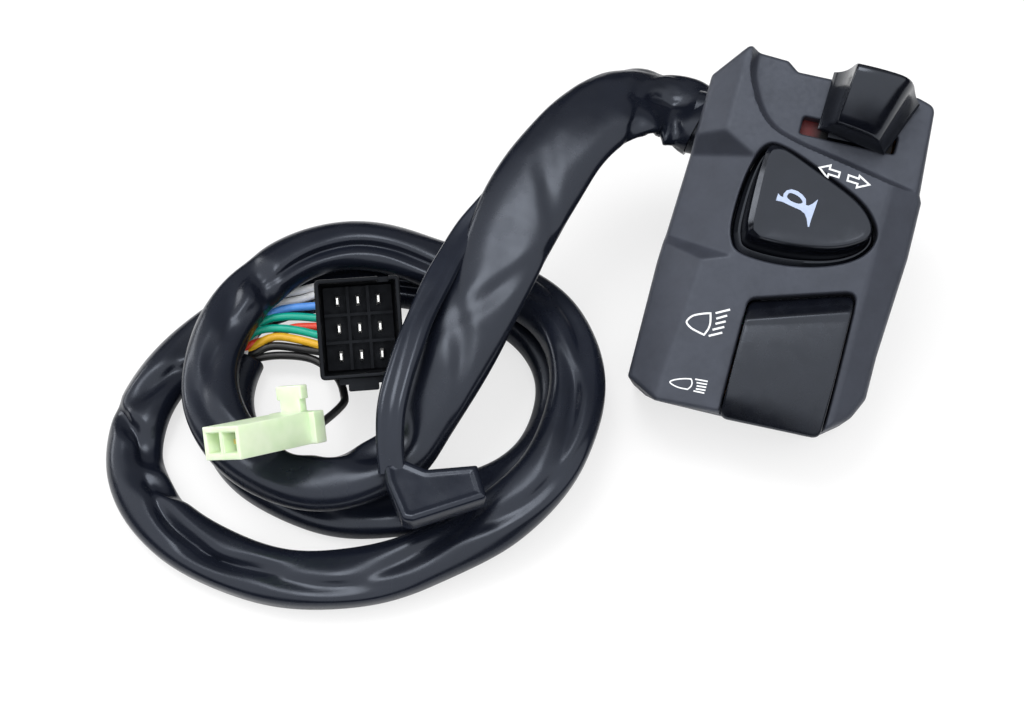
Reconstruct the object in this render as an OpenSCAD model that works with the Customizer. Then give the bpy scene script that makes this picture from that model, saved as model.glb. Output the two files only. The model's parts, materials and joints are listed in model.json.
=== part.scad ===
// Handlebar switch cluster: turn slider, horn button and beam rocker in a two-part housing, with its harness.
// The switch is drawn in its own body frame, then laid on its back as it lies on a table.
// Body frame: u along the handlebar, v up the face, w out of the face, with the bar's axis as origin.

/* [Handlebar] */
// Outside diameter of the handlebar tube
bar_d = 22.2; // [22:0.1:23]

/* [Housing] */
// Reach of the front housing from the bar's axis to its left side
left_reach = 27.5; // [27:0.5:29]
// Reach to its right side
right_reach = 28; // [28:0.5:30]
// Reach to its bottom edge
bottom_reach = 43.5; // [43:0.5:46]
// Reach to its top edge
top_reach = 42; // [42:0.5:45]
// Depth from the parting plane to the main face
front_depth = 24; // [24:0.5:26]
// Wall thickness of the housing
wall = 2.6; // [2:0.1:2.8]
// Wall of the rear half behind the bar
rear_wall = 9.4; // [8.6:0.1:10.4]
// Wall of the half-round saddle over the bar
saddle_wall = 2.5; // [2:0.1:2.6]
// Width of the bevels along both sides of the face
bevel_run = 8; // [6:0.5:8.5]
// Drop of those bevels at the sides
bevel_drop = 5; // [3:0.5:5]
// Step from the main face down to the turn plate
plate_drop = 3.5; // [2.5:0.1:3.6]

/* [Turn slider] */
// Length of the slot along the bar
slot_len = 22; // [22:0.5:24]
// Height of the slot
slot_h = 4.2; // [3.6:0.2:5]
// Travel to each side of the middle
turn_travel = 5.5; // [4:0.1:5.6]
// Width of the knob at the front of its foot
knob_w = 16.5; // [15:0.5:17]
// Length of the knob across the slot
knob_len = 14; // [13:0.5:14.5]
// Height of the knob above the plate
knob_h = 13; // [10:0.5:15]

/* [Horn button] */
// Rise of the button above the main face
horn_rise = 3.5; // [3:0.1:5]
// Travel of the button
horn_travel = 2.5; // [1.5:0.1:2.5]

/* [Beam rocker] */
// Width of the rocker along the bar
rocker_w = 22.8; // [20:0.1:23]
// Swing between its two positions, in degrees
rocker_swing = 12; // [8:0.5:12]
// Radius of the pivot pin
pin_r = 1.5; // [1.2:0.1:1.6]

/* [Harness] */
// Width of the flattened sleeve
sleeve_w = 13.5; // [12:0.1:13.6]
// Thickness of the flattened sleeve
sleeve_t = 9; // [8:0.1:9.2]
// Diameter of one wire
wire_d = 2; // [1.6:0.1:2.2]
// Width of the upper sleeve where it lies flattest
upper_w = 18; // [14:0.5:19]
// Width of the nine-way plug
plug_w = 19.5; // [18.5:0.1:20]
// Height of the nine-way plug
plug_h = 23; // [22:0.1:23.5]
// Length of the nine-way plug
plug_len = 27; // [26:0.5:28]
// Depth of its socket
socket_depth = 16; // [14:0.5:17]
// Pitch of its pins across
pitch_across = 4.8; // [4.4:0.1:5]
// Pitch of its pins up the face
pitch_up = 6.5; // [6:0.1:6.6]
// Length of the small lead connector
lead_conn_len = 25; // [22:0.5:26]

/* [Fits] */
// Gap between pieces that slide past each other
slide_gap = 0.3; // [0.2:0.05:0.4]
// Radial gap of pins, screws and stems in their holes
pin_gap = 0.05; // [0.02:0.01:0.1]

/* [Hidden] */
$fn = 48;

bar_r = bar_d / 2;
saddle_r = bar_r + saddle_wall;
back_r = bar_r + rear_wall;
tilt = asin(back_r / bottom_reach);
table = -back_r;
face = front_depth;
plate = face - plate_drop;
left = -left_reach;
right = right_reach;
bottom = -bottom_reach;
top = top_reach;
far = 60;

// Ceilings of the three cavities behind the face
low_ceiling = face - 4;
mid_ceiling = face - 3.5;
turn_ceiling = plate - 3;
cavity_left = left + bevel_run - wall + 0.1;

// Clamp screws, above and below the bar
clamp_u = -13;
clamp_v = bar_r + 6.4;
clamp_r = 2.4;
clamp_boss_r = 4.2;
clamp_head_r = 4.4;
clamp_head_h = 3.2;
clamp_seat = -7;
clamp_tip = 13;

// Turn slider
slot_u = right - 20;
slot_v = top - 14.3;
stem_w = slot_len - 2 * turn_travel - 2;
stem_h = slot_h - 0.8;
carrier_top = turn_ceiling - slide_gap;
carrier_bottom = carrier_top - 6.7;
carrier_u0 = slot_u - 12.5;
carrier_u1 = slot_u + 10.5;
carrier_v0 = slot_v - 6.1;
carrier_v1 = slot_v + 6.1;
carrier_pocket = carrier_top - 3.2;
wiper_t = 0.8;
board_top = carrier_bottom - wiper_t - 2 * slide_gap - 0.1;
board_t = 2;
board_u0 = carrier_u0 - 13.5;
board_u1 = carrier_u1 + turn_travel + 0.2;
rivet_rise = slide_gap + 0.1;
detent_v = slot_v + 3.9;
detent_u = slot_u - 1;
ball_r = 1.5;
groove_depth = 0.5;
board_screw_u = board_u0 + 3.5;
board_screw_vs = [max(slot_v - 1.6, clamp_v + clamp_boss_r + 2.9), slot_v + 6.4];

// Horn button: the rim of the hole in the face, and the smaller top of the button
horn_hole = [[-9.6, 20.4], [-12.3, 13.8], [-13.1, 4], [-12.2, -2.4], [-8.9, -5.6], [1, -6], [10.6, -3.9],
             [17.2, -0.2], [19.7, 4.6], [17.9, 9], [13.4, 12.9], [4.8, 16.9], [-4.6, 20.6]];
horn_top = [[-8.7, 19.4], [-9.5, 13], [-9.4, 4.4], [-8.9, 0.2], [-7.3, -1.7], [0.7, -1.9], [9.6, -0.6],
            [15.2, 1.7], [18.1, 4.7], [16.6, 8.5], [12.2, 12], [4.1, 15.8], [-4.7, 19.3]];
horn_mid = [2, 7];
horn_gap = 0.4;
horn_tab_top = mid_ceiling - slide_gap;
horn_foot = horn_tab_top - 1.7;
horn_pad = saddle_r + 0.2;
horn_base_t = 0.8;
horn_seat = horn_pad + horn_base_t;
horn_pocket_r = 4.4;
horn_spring_r = 3.4;
horn_pocket_top = face - 0.5;
strip_t = 0.5;
horn_contact_h = horn_foot - strip_t - horn_travel - slide_gap - horn_seat;

// Beam rocker
rocker_u0 = right - 32.4;
rocker_u1 = rocker_u0 + rocker_w;
rocker_gap = 0.4;
pivot_v = bottom + 17;
pivot_w = face - 8;
hub_r = pin_r + 1.9;
ear_t = 2.8;
ear_gap = 0.9;
rocker_foot = face - 5.5;
rocker_lip = face - 1;
sill = rocker_lip - 4;
plunger_r = 1.8;
plunger_reach = 10;
wiper_reach = 9.4;
cover_t = 2;
beam_board_top = pivot_w - plunger_reach - slide_gap;
beam_board_t = 2;

// Harness exit
exit_v = top - 15;
exit_w = 4.5;
exit_r = 4.5;
exit_half = 2;
grommet_out = left - 1.5;
grommet_in = cavity_left + 1.8;
exit_point = [grommet_out, exit_v * cos(tilt) - exit_w * sin(tilt), exit_v * sin(tilt) + exit_w * cos(tilt)];

// Upper sleeve: points chosen by hand, as x, y and height over the table
upper_route = [[-36, 22, 39], [-44, 18, 43], [-52, 7, 42], [-58, -11, 37.5], [-62.4, -36, 31.5], [-66.3, -58, 25]];
// Loops: reach from their centre at every eighth of a turn, going clockwise, and the height of each layer
loop_centre = [-85, -58];
loop_start = -55;
loop_reach = [24, 32.5, 38.5, 40, 40, 36.5, 46, 48, 46, 53, 60, 49, 42, 37, 42, 35, 27, 32, 36.5, 37, 36];
low_layer = sleeve_t / 2 + 0.1;
high_layer = low_layer + sleeve_t + 1.2;
loop_layers = [high_layer + 2, high_layer, high_layer, high_layer, high_layer, high_layer, high_layer, high_layer,
               low_layer + 3, low_layer + 0.4, low_layer, low_layer, low_layer, low_layer, low_layer, low_layer,
               low_layer, low_layer, low_layer, low_layer, low_layer];
loop_eighths = 18.75;
loop_rings = 57;

// Flat side lead with its vinyl boot
side_w = 6.5;
side_t = 3.4;
side_route = [[-68.6, -14, 35.6], [-72.8, -26.5, 34], [-74.9, -43.5, 33.4], [-75.3, -59.5, 32.2],
              [-74.6, -72.5, 30], [-72.6, -80.5, 26.8], [-70.3, -86, 23]];
// Boot: corners of its flat bent outline as seen from above, and the height of its underside
boot_outline = [[-72.7, -85.6], [-69.3, -82.7], [-63.1, -83.6], [-52.8, -79.3], [-48.2, -86.4], [-61.8, -96.6],
                [-64.2, -97], [-70.5, -89.6]];
boot_low = 20.4;
boot_t = 4.4;
boot_mouth = [-50.5, -82.85];
boot_turn = 29;
boot_wall = 0.9;

// Nine-way plug: middle of its open face, and how it leans
plug_at = [-88, -57, table + 31.5];
plug_yaw = -62;
plug_pitch = 35;
plug_roll = 85;
plug_wall = 1.5;
pin_len = 8;

// Small connector and its lead
lead_at = [-98.8, -88.9, table + 29.9];
lead_yaw = 240;
lead_pitch = 38.6;
lead_roll = 41.6;
lead_conn_w = 10.8;
lead_conn_t = 7.2;
lead_route = [[-113, -56, 4.6], [-106, -60, 3.6], [-99, -63, 4], [-92.5, -65, 8], [-90.4, -69, 12]];

// Vectors, curves and swept tubes
function unit(a) = a / norm(a);
function mix(a, b, t) = a + (b - a) * t;
function up(p) = [p.x, p.y, p.z + table];
function at(list, i) = list[max(0, min(len(list) - 1, i))];
function cubic(a, b, c, d, t) =
    0.5 * (2 * b + (c - a) * t + (2 * a - 5 * b + 4 * c - d) * t * t + (3 * b - a - 3 * c + d) * t * t * t);
function along(list, s) =
    let(i = min(floor(s), len(list) - 2))
    cubic(at(list, i - 1), list[i], list[i + 1], at(list, i + 2), s - i);
function smooth(list, steps) = [for (n = [0 : steps]) along(list, n * (len(list) - 1) / steps)];
function bezier(a, b, c, d, t) = mix(mix(mix(a, b, t), mix(b, c, t), t), mix(mix(b, c, t), mix(c, d, t), t), t);
function heading(path, i, first, last) =
    i == 0 && first != undef ? unit(first)
    : i == len(path) - 1 && last != undef ? unit(last)
    : unit(at(path, i + 1) - at(path, i - 1));
function ring(p, t, half_w, half_t, sides) =
    let(side = unit(cross(t, [0, 0, 1])), rise = cross(side, t))
    [for (j = [0 : sides - 1]) p + side * half_w * cos(360 * j / sides) + rise * half_t * sin(360 * j / sides)];
module tube(path, half_w, half_t, sides, first = undef, last = undef) {
    rings = len(path);
    end = (rings - 1) * sides;
    points = [for (i = [0 : rings - 1])
              each ring(path[i], heading(path, i, first, last), is_list(half_w) ? half_w[i] : half_w, half_t, sides)];
    skin = [for (i = [0 : rings - 2]) for (j = [0 : sides - 1])
            let(a = i * sides + j, b = i * sides + (j + 1) % sides)
            each [[a, b, b + sides], [a, b + sides, a + sides]]];
    caps = [for (j = [1 : sides - 2]) each [[0, j + 1, j], [end, end + j, end + j + 1]]];
    polyhedron(points, concat(skin, caps), convexity = 10);
}
function helix(r, height, turns, steps) =
    [for (n = [0 : turns * steps])
     [r * cos(360 * n / steps), r * sin(360 * n / steps), height * n / (turns * steps)]];

// Loops of the sleeve
function loop_point(k) =
    let(a = loop_start - 45 * k, r = along(loop_reach, k))
    [loop_centre.x + r * cos(a), loop_centre.y + r * sin(a), table + along(loop_layers, k)];
function loop_heading(k) = unit(loop_point(k + 0.05) - loop_point(k - 0.05));
loop_first = unit(loop_point(0.1) - loop_point(0));
loop_last = loop_heading(loop_eighths);
loop_path = [for (n = [0 : loop_rings]) loop_point(n * loop_eighths / loop_rings)];
upper_points = concat([exit_point], [for (p = upper_route) up(p)], [loop_point(0)]);
upper_rings = 28;
upper_path = smooth(upper_points, upper_rings);
// Least room between loops that pass within a turn, with the flat section's width and thickness taken off
function apart(p, q) = let(d = p - q) max(norm([d.x, d.y]) - sleeve_w, abs(d.z) - sleeve_t);
loop_room = min([for (i = [0 : loop_rings]) for (j = [i + 12 : 1 : loop_rings]) apart(loop_path[i], loop_path[j])]);
echo(least_gap_between_loops = loop_room);

// Turning a point or a direction of the plug into the row frame
function spin_z(p, a) = [p.x * cos(a) - p.y * sin(a), p.x * sin(a) + p.y * cos(a), p.z];
function spin_y(p, a) = [p.x * cos(a) + p.z * sin(a), p.y, p.z * cos(a) - p.x * sin(a)];
function plug_turn(p) = spin_z(spin_y(spin_z(p, plug_roll), plug_pitch), plug_yaw);
function plug_point(p) = plug_at + plug_turn(p);

// Wires fan out from the end of the sleeve to the back of the plug
sleeve_end = loop_point(loop_eighths);
end_side = unit(cross(loop_last, [0, 0, 1]));
end_rise = cross(end_side, loop_last);
fan_side = wire_d + 1.7;
fan_rise = wire_d + 0.6;
fan_first = sleeve_end - end_side * 0.6 + loop_last * 0.4;
fan_last = plug_point([0, 0, -plug_len]);
fan_lead = [0, 9, 0.6];
fan_reach = [-12, 9.8, -3.4];
function fan_middle(t) =
    bezier(fan_first, fan_first + fan_lead, fan_last + fan_reach, fan_last, t);
function fan_heading(t) = unit(fan_middle(min(1, t + 0.01)) - fan_middle(max(0, t - 0.01)));
function fan_path(c, r) =
    [for (n = [0 : 16])
     let(t = n / 16,
         late = pow(t, 3),
         side = unit(cross(fan_heading(t), [0, 0, 1])),
         lift = cross(side, fan_heading(t)),
         across = mix(side * mix(fan_side, pitch_across, late), plug_turn([-1, 0, 0]) * pitch_across, late),
         rise = mix(lift * mix(fan_rise, pitch_up, t * t), plug_turn([0, 1, 0]) * pitch_up, late))
     fan_middle(t) + across * c + rise * r];

// Placing and plain shapes
module lay() { rotate([tilt, 0, 0]) children(); }
module box(u0, u1, v0, v1, w0, w1) { translate([u0, v0, w0]) cube([u1 - u0, v1 - v0, w1 - w0]); }
module rod_u(u0, u1, v, w, r) { translate([u0, v, w]) rotate([0, 90, 0]) cylinder(h = u1 - u0, r = r); }
module rod_w(u, v, w0, w1, r) { translate([u, v, w0]) cylinder(h = w1 - w0, r = r); }
module prism_u(points, u0, u1) { translate([u0, 0, 0]) rotate([90, 0, 90]) linear_extrude(u1 - u0) polygon(points); }
module prism_v(points, v0, v1) { translate([0, v1, 0]) rotate([90, 0, 0]) linear_extrude(v1 - v0) polygon(points); }
module prism_w(points, w0, w1) { translate([0, 0, w0]) linear_extrude(w1 - w0) polygon(points); }
module slab(low, high) {
    polyhedron(concat(low, high),
               [[0, 1, 2], [0, 2, 3], [4, 6, 5], [4, 7, 6], [0, 4, 5], [0, 5, 1],
                [1, 5, 6], [1, 6, 2], [2, 6, 7], [2, 7, 3], [3, 7, 4], [3, 4, 0]]);
}
module loft(low, high, w0, w1) {
    n = len(low);
    points = concat([for (p = low) [p.x, p.y, w0]], [for (p = high) [p.x, p.y, w1]]);
    sides = [for (i = [0 : n - 1]) let(j = (i + 1) % n) each [[i, j + n, j], [i, i + n, j + n]]];
    ends = [for (i = [1 : n - 2]) each [[0, i, i + 1], [n, n + i + 1, n + i]]];
    polyhedron(points, concat(sides, ends));
}
function inset(points, middle, d) = [for (p = points) p + unit(middle - p) * d];

// Front housing
outline = [[left + 8, bottom], [left, bottom + 4.2], [left - 0.3, -11], [left + 0.9, 18.3], [left + 1.2, top - 6.9],
           [left + 8.4, top + 0.7], [-9.6, top + 0.1], [-6.8, top - 2], [right - 6.5, top - 2], [right - 2.4, top - 3.3],
           [right - 0.9, 18], [right - 0.1, 16.4], [right, 3], [right - 1.5, -21], [right - 1.5, -31],
           [right - 4, -36.8], [right - 9, bottom + 2.2], [right - 11, bottom + 1.5]];
recess = [[left + 7.2, far], [left + 7.2, top - 2], [-16.4, 35.6], [-13.5, 30.4], [-10.7, 25.8], [-6.7, 23.4],
          [-1.2, 22], [right - 2.3, 17.1], [far, 11], [far, far]];
module side_bevels() {
    slope = bevel_drop / bevel_run;
    low = face - slope * (bevel_run + 2);
    prism_v([[left + bevel_run, face], [left - 2, low], [left - 2, far], [left + bevel_run, far]], -far, far);
    prism_v([[right - bevel_run, face], [right - bevel_run, far], [right + 2, far], [right + 2, low]], -far, far);
}
module thumb_relief() {
    slab([[-11, 17.2, face], [-32, 15.4, face - 10.5], [-32, -3.2, face - 10.5], [-10.6, -6.6, face]],
         [[-11, 27.6, face + 6], [-32, 44, face + 6], [-32, -24, face + 6], [-10.6, -13, face + 6]]);
}
module front_shape() {
    difference() {
        prism_w(outline, 0, face);
        side_bevels();
        thumb_relief();
        prism_w(recess, plate, far);
    }
}
low_room = [[cavity_left, -saddle_r - 0.4], [cavity_left, bottom + wall], [right - 12.5, bottom + wall],
            [right - 11.4, bottom + wall + 0.7], [right - 5.6, -35.4], [right - 5, -33], [right - 5, -saddle_r - 0.4]];
module front_cavity() {
    prism_w(low_room, -1, low_ceiling);
    box(cavity_left, right - 3.4, saddle_r + 0.4, top - 2 - wall, -1, turn_ceiling);
    difference() {
        box(-10, right - 5.4, -saddle_r - 0.9, saddle_r + 0.9, 0, mid_ceiling);
        rod_u(-far, far, 0, 0, saddle_r);
        box(horn_mid.x - 9.2, right, -6, saddle_r, 0, horn_pad);
    }
}
module front_ribs() {
    for (s = [-1, 1]) rod_w(clamp_u, s * clamp_v, 0, turn_ceiling + 0.1, clamp_boss_r);
    rod_w(clamp_u, -clamp_v, turn_ceiling, low_ceiling + 0.1, clamp_boss_r);
    for (u = [rocker_u0 - ear_gap - ear_t, rocker_u1 + ear_gap])
        box(u, u + ear_t, pivot_v - 3.2, pivot_v + 3.2, pivot_w - 3.5, low_ceiling + 0.1);
    for (v = board_screw_vs) rod_w(board_screw_u, v, board_top, turn_ceiling + 0.1, 2.6);
    rail_low = carrier_v0 - slide_gap;
    rail_high = carrier_v1 + slide_gap;
    box(carrier_u0 - 4, right - 3, rail_low - 1, rail_low, board_top + 2.5, turn_ceiling + 0.1);
    box(carrier_u0 - 4, right - 3, rail_high, rail_high + 1.3, board_top, turn_ceiling + 0.1);
    rod_w(cover_points[0].x, cover_points[0].y, cover_t, low_ceiling + 0.1, 2.5);
    rod_w(cover_points[1].x, cover_points[1].y, cover_t, boss_top, 2.5);
    box(cover_points[1].x, right - 4.5, cover_points[1].y - 1.2, cover_points[1].y + 1.2, cover_t, boss_top);
}
module exit_shape(r, u0, u1) {
    for (s = [-1, 1]) rod_u(u0, u1, exit_v + s * exit_half, exit_w, r);
    box(u0, u1, exit_v - exit_half, exit_v + exit_half, exit_w - r, exit_w + r);
}
cover_points = [[left + 8.6, bottom + 6.4], [right - 9.4, bottom + 8.4]];
boss_top = pivot_w - 3;
module front_housing() {
    color("dimgray") lay() difference() {
        union() {
            difference() {
                front_shape();
                front_cavity();
            }
            front_ribs();
        }
        rod_u(-far, far, 0, 0, bar_r);
        for (s = [-1, 1]) rod_w(clamp_u, s * clamp_v, -1, clamp_tip + 1, clamp_r + pin_gap);
        box(slot_u - slot_len / 2, slot_u + slot_len / 2, slot_v - slot_h / 2, slot_v + slot_h / 2,
            turn_ceiling - 1, far);
        prism_w(horn_hole, horn_pad, far);
        box(-15.5, -9, 3.5, 9.5, horn_foot - horn_travel - 0.5, mid_ceiling);
        prism_w([[rocker_u0 - rocker_gap, bottom - 2], [rocker_u1 + rocker_gap, bottom - 2],
                 [rocker_u1 + rocker_gap, -8], [rocker_u0 - rocker_gap, -15.4]], sill, far);
        rod_u(rocker_u0 - ear_gap - ear_t - 1, rocker_u1 + ear_gap + ear_t + 0.3, pivot_v, pivot_w, pin_r + pin_gap);
        for (v = board_screw_vs) rod_w(board_screw_u, v, board_top - 1, board_top + 6, 1.2 + pin_gap);
        for (p = cover_points) rod_w(p.x, p.y, 0, cover_t + 8, 1.3 + pin_gap);
        exit_shape(exit_r + 0.1, left - 5, cavity_left + 0.1);
    }
}

// Rear housing and what closes the body
module rear_housing() {
    color("slategray") lay() difference() {
        union() {
            intersection() {
                rod_u(left + 1.5, right - 2, 0, 0, back_r);
                box(-far, far, -far, far, -far, 0);
            }
            prism_u([[0, -back_r + 5], [6, -back_r + 5], [top - 8, -9], [top - 4, -4], [top - 4, 0], [0, 0]],
                    left + 1.5, right - 2);
        }
        rod_u(-far, far, 0, 0, bar_r);
        difference() {
            box(cavity_left - 0.5, right - 5, saddle_r + 0.6, top - 7, -6.4, 1);
            rod_w(clamp_u, clamp_v, -far, far, clamp_boss_r + 1.4);
        }
        for (s = [-1, 1]) {
            rod_w(clamp_u, s * clamp_v, -far, far, clamp_r + pin_gap);
            rod_w(clamp_u, s * clamp_v, -far, clamp_seat, clamp_head_r + 0.3);
        }
    }
}
module housing_screws() {
    color("silver") lay() for (s = [-1, 1]) difference() {
        union() {
            rod_w(clamp_u, s * clamp_v, clamp_seat - clamp_head_h, clamp_seat, clamp_head_r);
            rod_w(clamp_u, s * clamp_v, clamp_seat - 0.1, clamp_tip, clamp_r);
        }
        for (a = [0, 90])
            translate([clamp_u, s * clamp_v, clamp_seat - clamp_head_h])
                rotate([0, 0, a]) cube([5, 1.2, 3], center = true);
    }
}
module lower_cover() {
    color("darkslategray") lay() difference() {
        union() {
            intersection() {
                box(cavity_left + 0.2, right - 5.2, bottom + wall + 0.2, -saddle_r - 0.7, 0, cover_t);
                linear_extrude(cover_t) offset(delta = -0.2) polygon(low_room);
            }
            for (u = beam_post_us) rod_w(u, pivot_v - 8, cover_t - 0.1, beam_board_top - beam_board_t, 2.2);
            rod_w(rocker_u1 - 3, pivot_v + 7, cover_t - 0.1, beam_board_top - beam_board_t, 2.2);
        }
        rod_w(clamp_u, -clamp_v, -1, cover_t + 1, clamp_boss_r + 0.3);
        for (p = cover_points) {
            rod_w(p.x, p.y, -1, cover_t + 1, 1.3 + pin_gap);
            rod_w(p.x, p.y, -1, 1.2, 2.5);
        }
    }
}
module cover_screws() {
    color("silver") lay() for (p = cover_points) {
        rod_w(p.x, p.y, 0, 1.2, 2.4);
        rod_w(p.x, p.y, 1, cover_t + 7, 1.3);
    }
}

// Turn slider
// Knob: bell-shaped sections from its front to its back, each as share of length, crown height, spread and shift
knob_cuts = [[0, 1.6, 1, 0], [0.04, 2.4, 1, 0], [0.18, knob_h - 3.6, 1, 0.1], [0.45, knob_h - 1.2, 1.07, 0.6],
             [0.75, knob_h - 0.2, 1.15, 1.2], [0.92, knob_h - 0.6, 1.19, 1.5], [1, knob_h - 2, 1.2, 1.6]];
knob_skew = 0.14;
function knob_bell(c) =
    let(half = knob_w / 2 * c[2], crown = half * 0.56, h = c[1], mid = slot_u + 0.7 + c[3],
        side = [[half, 0], [half, min(1, h)], [half - 1.6, 0.2 * h + 0.4], [crown + 1.3, 0.52 * h],
                [crown + 0.4, 0.86 * h], [crown - 0.9, h], [0, h + 0.2]],
        round = concat([for (q = side) [q.x, q.y]], [for (n = [5 : -1 : 0]) [-side[n].x, side[n].y]]))
    [for (q = round) [mid + q.x, slot_v - 2 + c[0] * knob_len - knob_skew * q.x, plate + 0.4 + q.y]];
module knob_block() {
    n = 13;
    end = (len(knob_cuts) - 1) * n;
    points = [for (c = knob_cuts) each knob_bell(c)];
    skin = [for (i = [0 : n : end - n]) for (j = [0 : n - 1])
            let(a = i + j, b = i + (j + 1) % n) each [[a, b, b + n], [a, b + n, a + n]]];
    front = [for (i = [0 : 4]) each [[i, 12 - i, 11 - i], [i, 11 - i, i + 1]]];
    back = [for (f = concat(front, [[5, 7, 6]])) [f[0] + end, f[2] + end, f[1] + end]];
    polyhedron(points, concat(skin, front, [[5, 7, 6]], back));
}
module turn_knob() {
    color("black") lay() difference() {
        union() {
            knob_block();
            box(slot_u - stem_w / 2, slot_u + stem_w / 2, slot_v - stem_h / 2, slot_v + stem_h / 2,
                carrier_pocket, plate + 0.6);
        }
        rod_w(slot_u, slot_v, carrier_pocket - 1, carrier_pocket + 5.5, 1.2 + pin_gap);
    }
}
module turn_carrier() {
    color("firebrick") lay() difference() {
        box(carrier_u0, carrier_u1, carrier_v0, carrier_v1, carrier_bottom, carrier_top);
        translate([slot_u, slot_v, carrier_pocket + 2.5]) cube([stem_w + 0.2, stem_h + 0.2, 5], center = true);
        rod_w(slot_u, slot_v, carrier_bottom - 1, carrier_top, 1.2 + pin_gap);
        rod_w(slot_u, slot_v, carrier_bottom - 1, carrier_bottom + 1.6, 2.3);
        rod_w(detent_u, detent_v, carrier_bottom - 1, carrier_bottom + 5, ball_r + 0.1);
    }
}
module turn_knob_screw() {
    color("silver") lay() {
        rod_w(slot_u, slot_v, carrier_bottom + 0.1, carrier_bottom + 1.6, 2.2);
        rod_w(slot_u, slot_v, carrier_bottom + 1.5, carrier_pocket + 5, 1.2);
    }
}
module turn_wiper() {
    color("peru") lay()
        box(detent_u - 8, detent_u + 8, carrier_v0 + 0.6, carrier_v0 + 3.6, carrier_bottom - wiper_t, carrier_bottom);
}
ball_w = board_top - groove_depth + 0.1 + ball_r;
module turn_detent_ball() {
    color("lightgray") lay() translate([detent_u, detent_v, ball_w]) sphere(r = ball_r);
}
module turn_detent_spring() {
    room = carrier_bottom + 5 - ball_w - ball_r;
    color("silver") lay() translate([detent_u, detent_v, ball_w + ball_r + 0.25])
        tube(helix(1.1, room - 0.5, 3, 12), 0.2, 0.2, 6);
}
contact_us = [detent_u - turn_travel - 3, detent_u, detent_u + turn_travel + 3];
contact_v = carrier_v0 + 2.1;
module turn_board() {
    color("saddlebrown") lay() difference() {
        box(board_u0, board_u1, carrier_v0 + 0.4, carrier_v1 + 1.4, board_top - board_t, board_top);
        rod_w(clamp_u, clamp_v, 0, far, clamp_boss_r + 0.3);
        for (v = board_screw_vs) rod_w(board_screw_u, v, 0, board_top + 1, 1.2 + pin_gap);
        for (u = contact_us) rod_w(u, contact_v, 0, board_top + 1, 1 + pin_gap);
        box(detent_u - turn_travel - 2, detent_u + turn_travel + 2, detent_v - 1.7, detent_v + 1.7,
            board_top - groove_depth, board_top + 1);
        for (s = [-1, 0, 1]) rod_w(detent_u + s * turn_travel, detent_v, 0, board_top, 0.9);
    }
}
module turn_contacts() {
    color("gold") lay() for (u = contact_us) {
        rod_w(u, contact_v, board_top - board_t - 0.8, board_top + 0.1, 1);
        rod_w(u, contact_v, board_top, board_top + rivet_rise, 1.6);
        rod_w(u, contact_v, board_top - board_t - 0.8, board_top - board_t, 1.8);
    }
}
module turn_board_screws() {
    color("silver") lay() for (v = board_screw_vs) {
        rod_w(board_screw_u, v, board_top - board_t - 1.3, board_top - board_t, 2.2);
        rod_w(board_screw_u, v, board_top - board_t - 0.2, board_top + 5.5, 1.2);
    }
}

// Horn button
module horn_button() {
    skirt = inset(horn_hole, horn_mid, horn_gap);
    color("black") lay() difference() {
        union() {
            prism_w(skirt, horn_foot, face + 0.4);
            loft(skirt, horn_top, face + 0.4, face + horn_rise);
            box(14, right - 6, 3, 8, horn_foot, horn_tab_top);
            box(-4, 4, -9.5, -4, horn_foot, horn_tab_top);
            box(-15, -9, 4, 9, horn_foot, horn_tab_top);
        }
        rod_w(horn_mid.x - 4, horn_mid.y - 1, horn_foot - 1, horn_pocket_top, horn_pocket_r);
    }
}
module horn_contact_strip() {
    color("peru") lay()
        box(horn_mid.x + 2, horn_mid.x + 10, horn_mid.y - 3, horn_mid.y + 1, horn_foot - strip_t, horn_foot);
}
module horn_spring() {
    color("silver") lay() translate([horn_mid.x - 4, horn_mid.y - 1, horn_seat + 0.35])
        tube(helix(horn_spring_r, horn_pocket_top - horn_seat - 0.7, 5, 16), 0.3, 0.3, 6);
}
module horn_base() {
    color("saddlebrown") lay() difference() {
        box(horn_mid.x - 9, horn_mid.x + 12, horn_mid.y - 7, saddle_r, horn_pad, horn_seat);
        rod_w(horn_mid.x + 6, horn_mid.y - 1, 0, far, 1 + pin_gap);
    }
}
module horn_contact() {
    color("gold") lay() {
        rod_w(horn_mid.x + 6, horn_mid.y - 1, horn_pad, horn_seat + 0.1, 1);
        rod_w(horn_mid.x + 6, horn_mid.y - 1, horn_seat, horn_seat + horn_contact_h, 1.7);
    }
}

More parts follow.
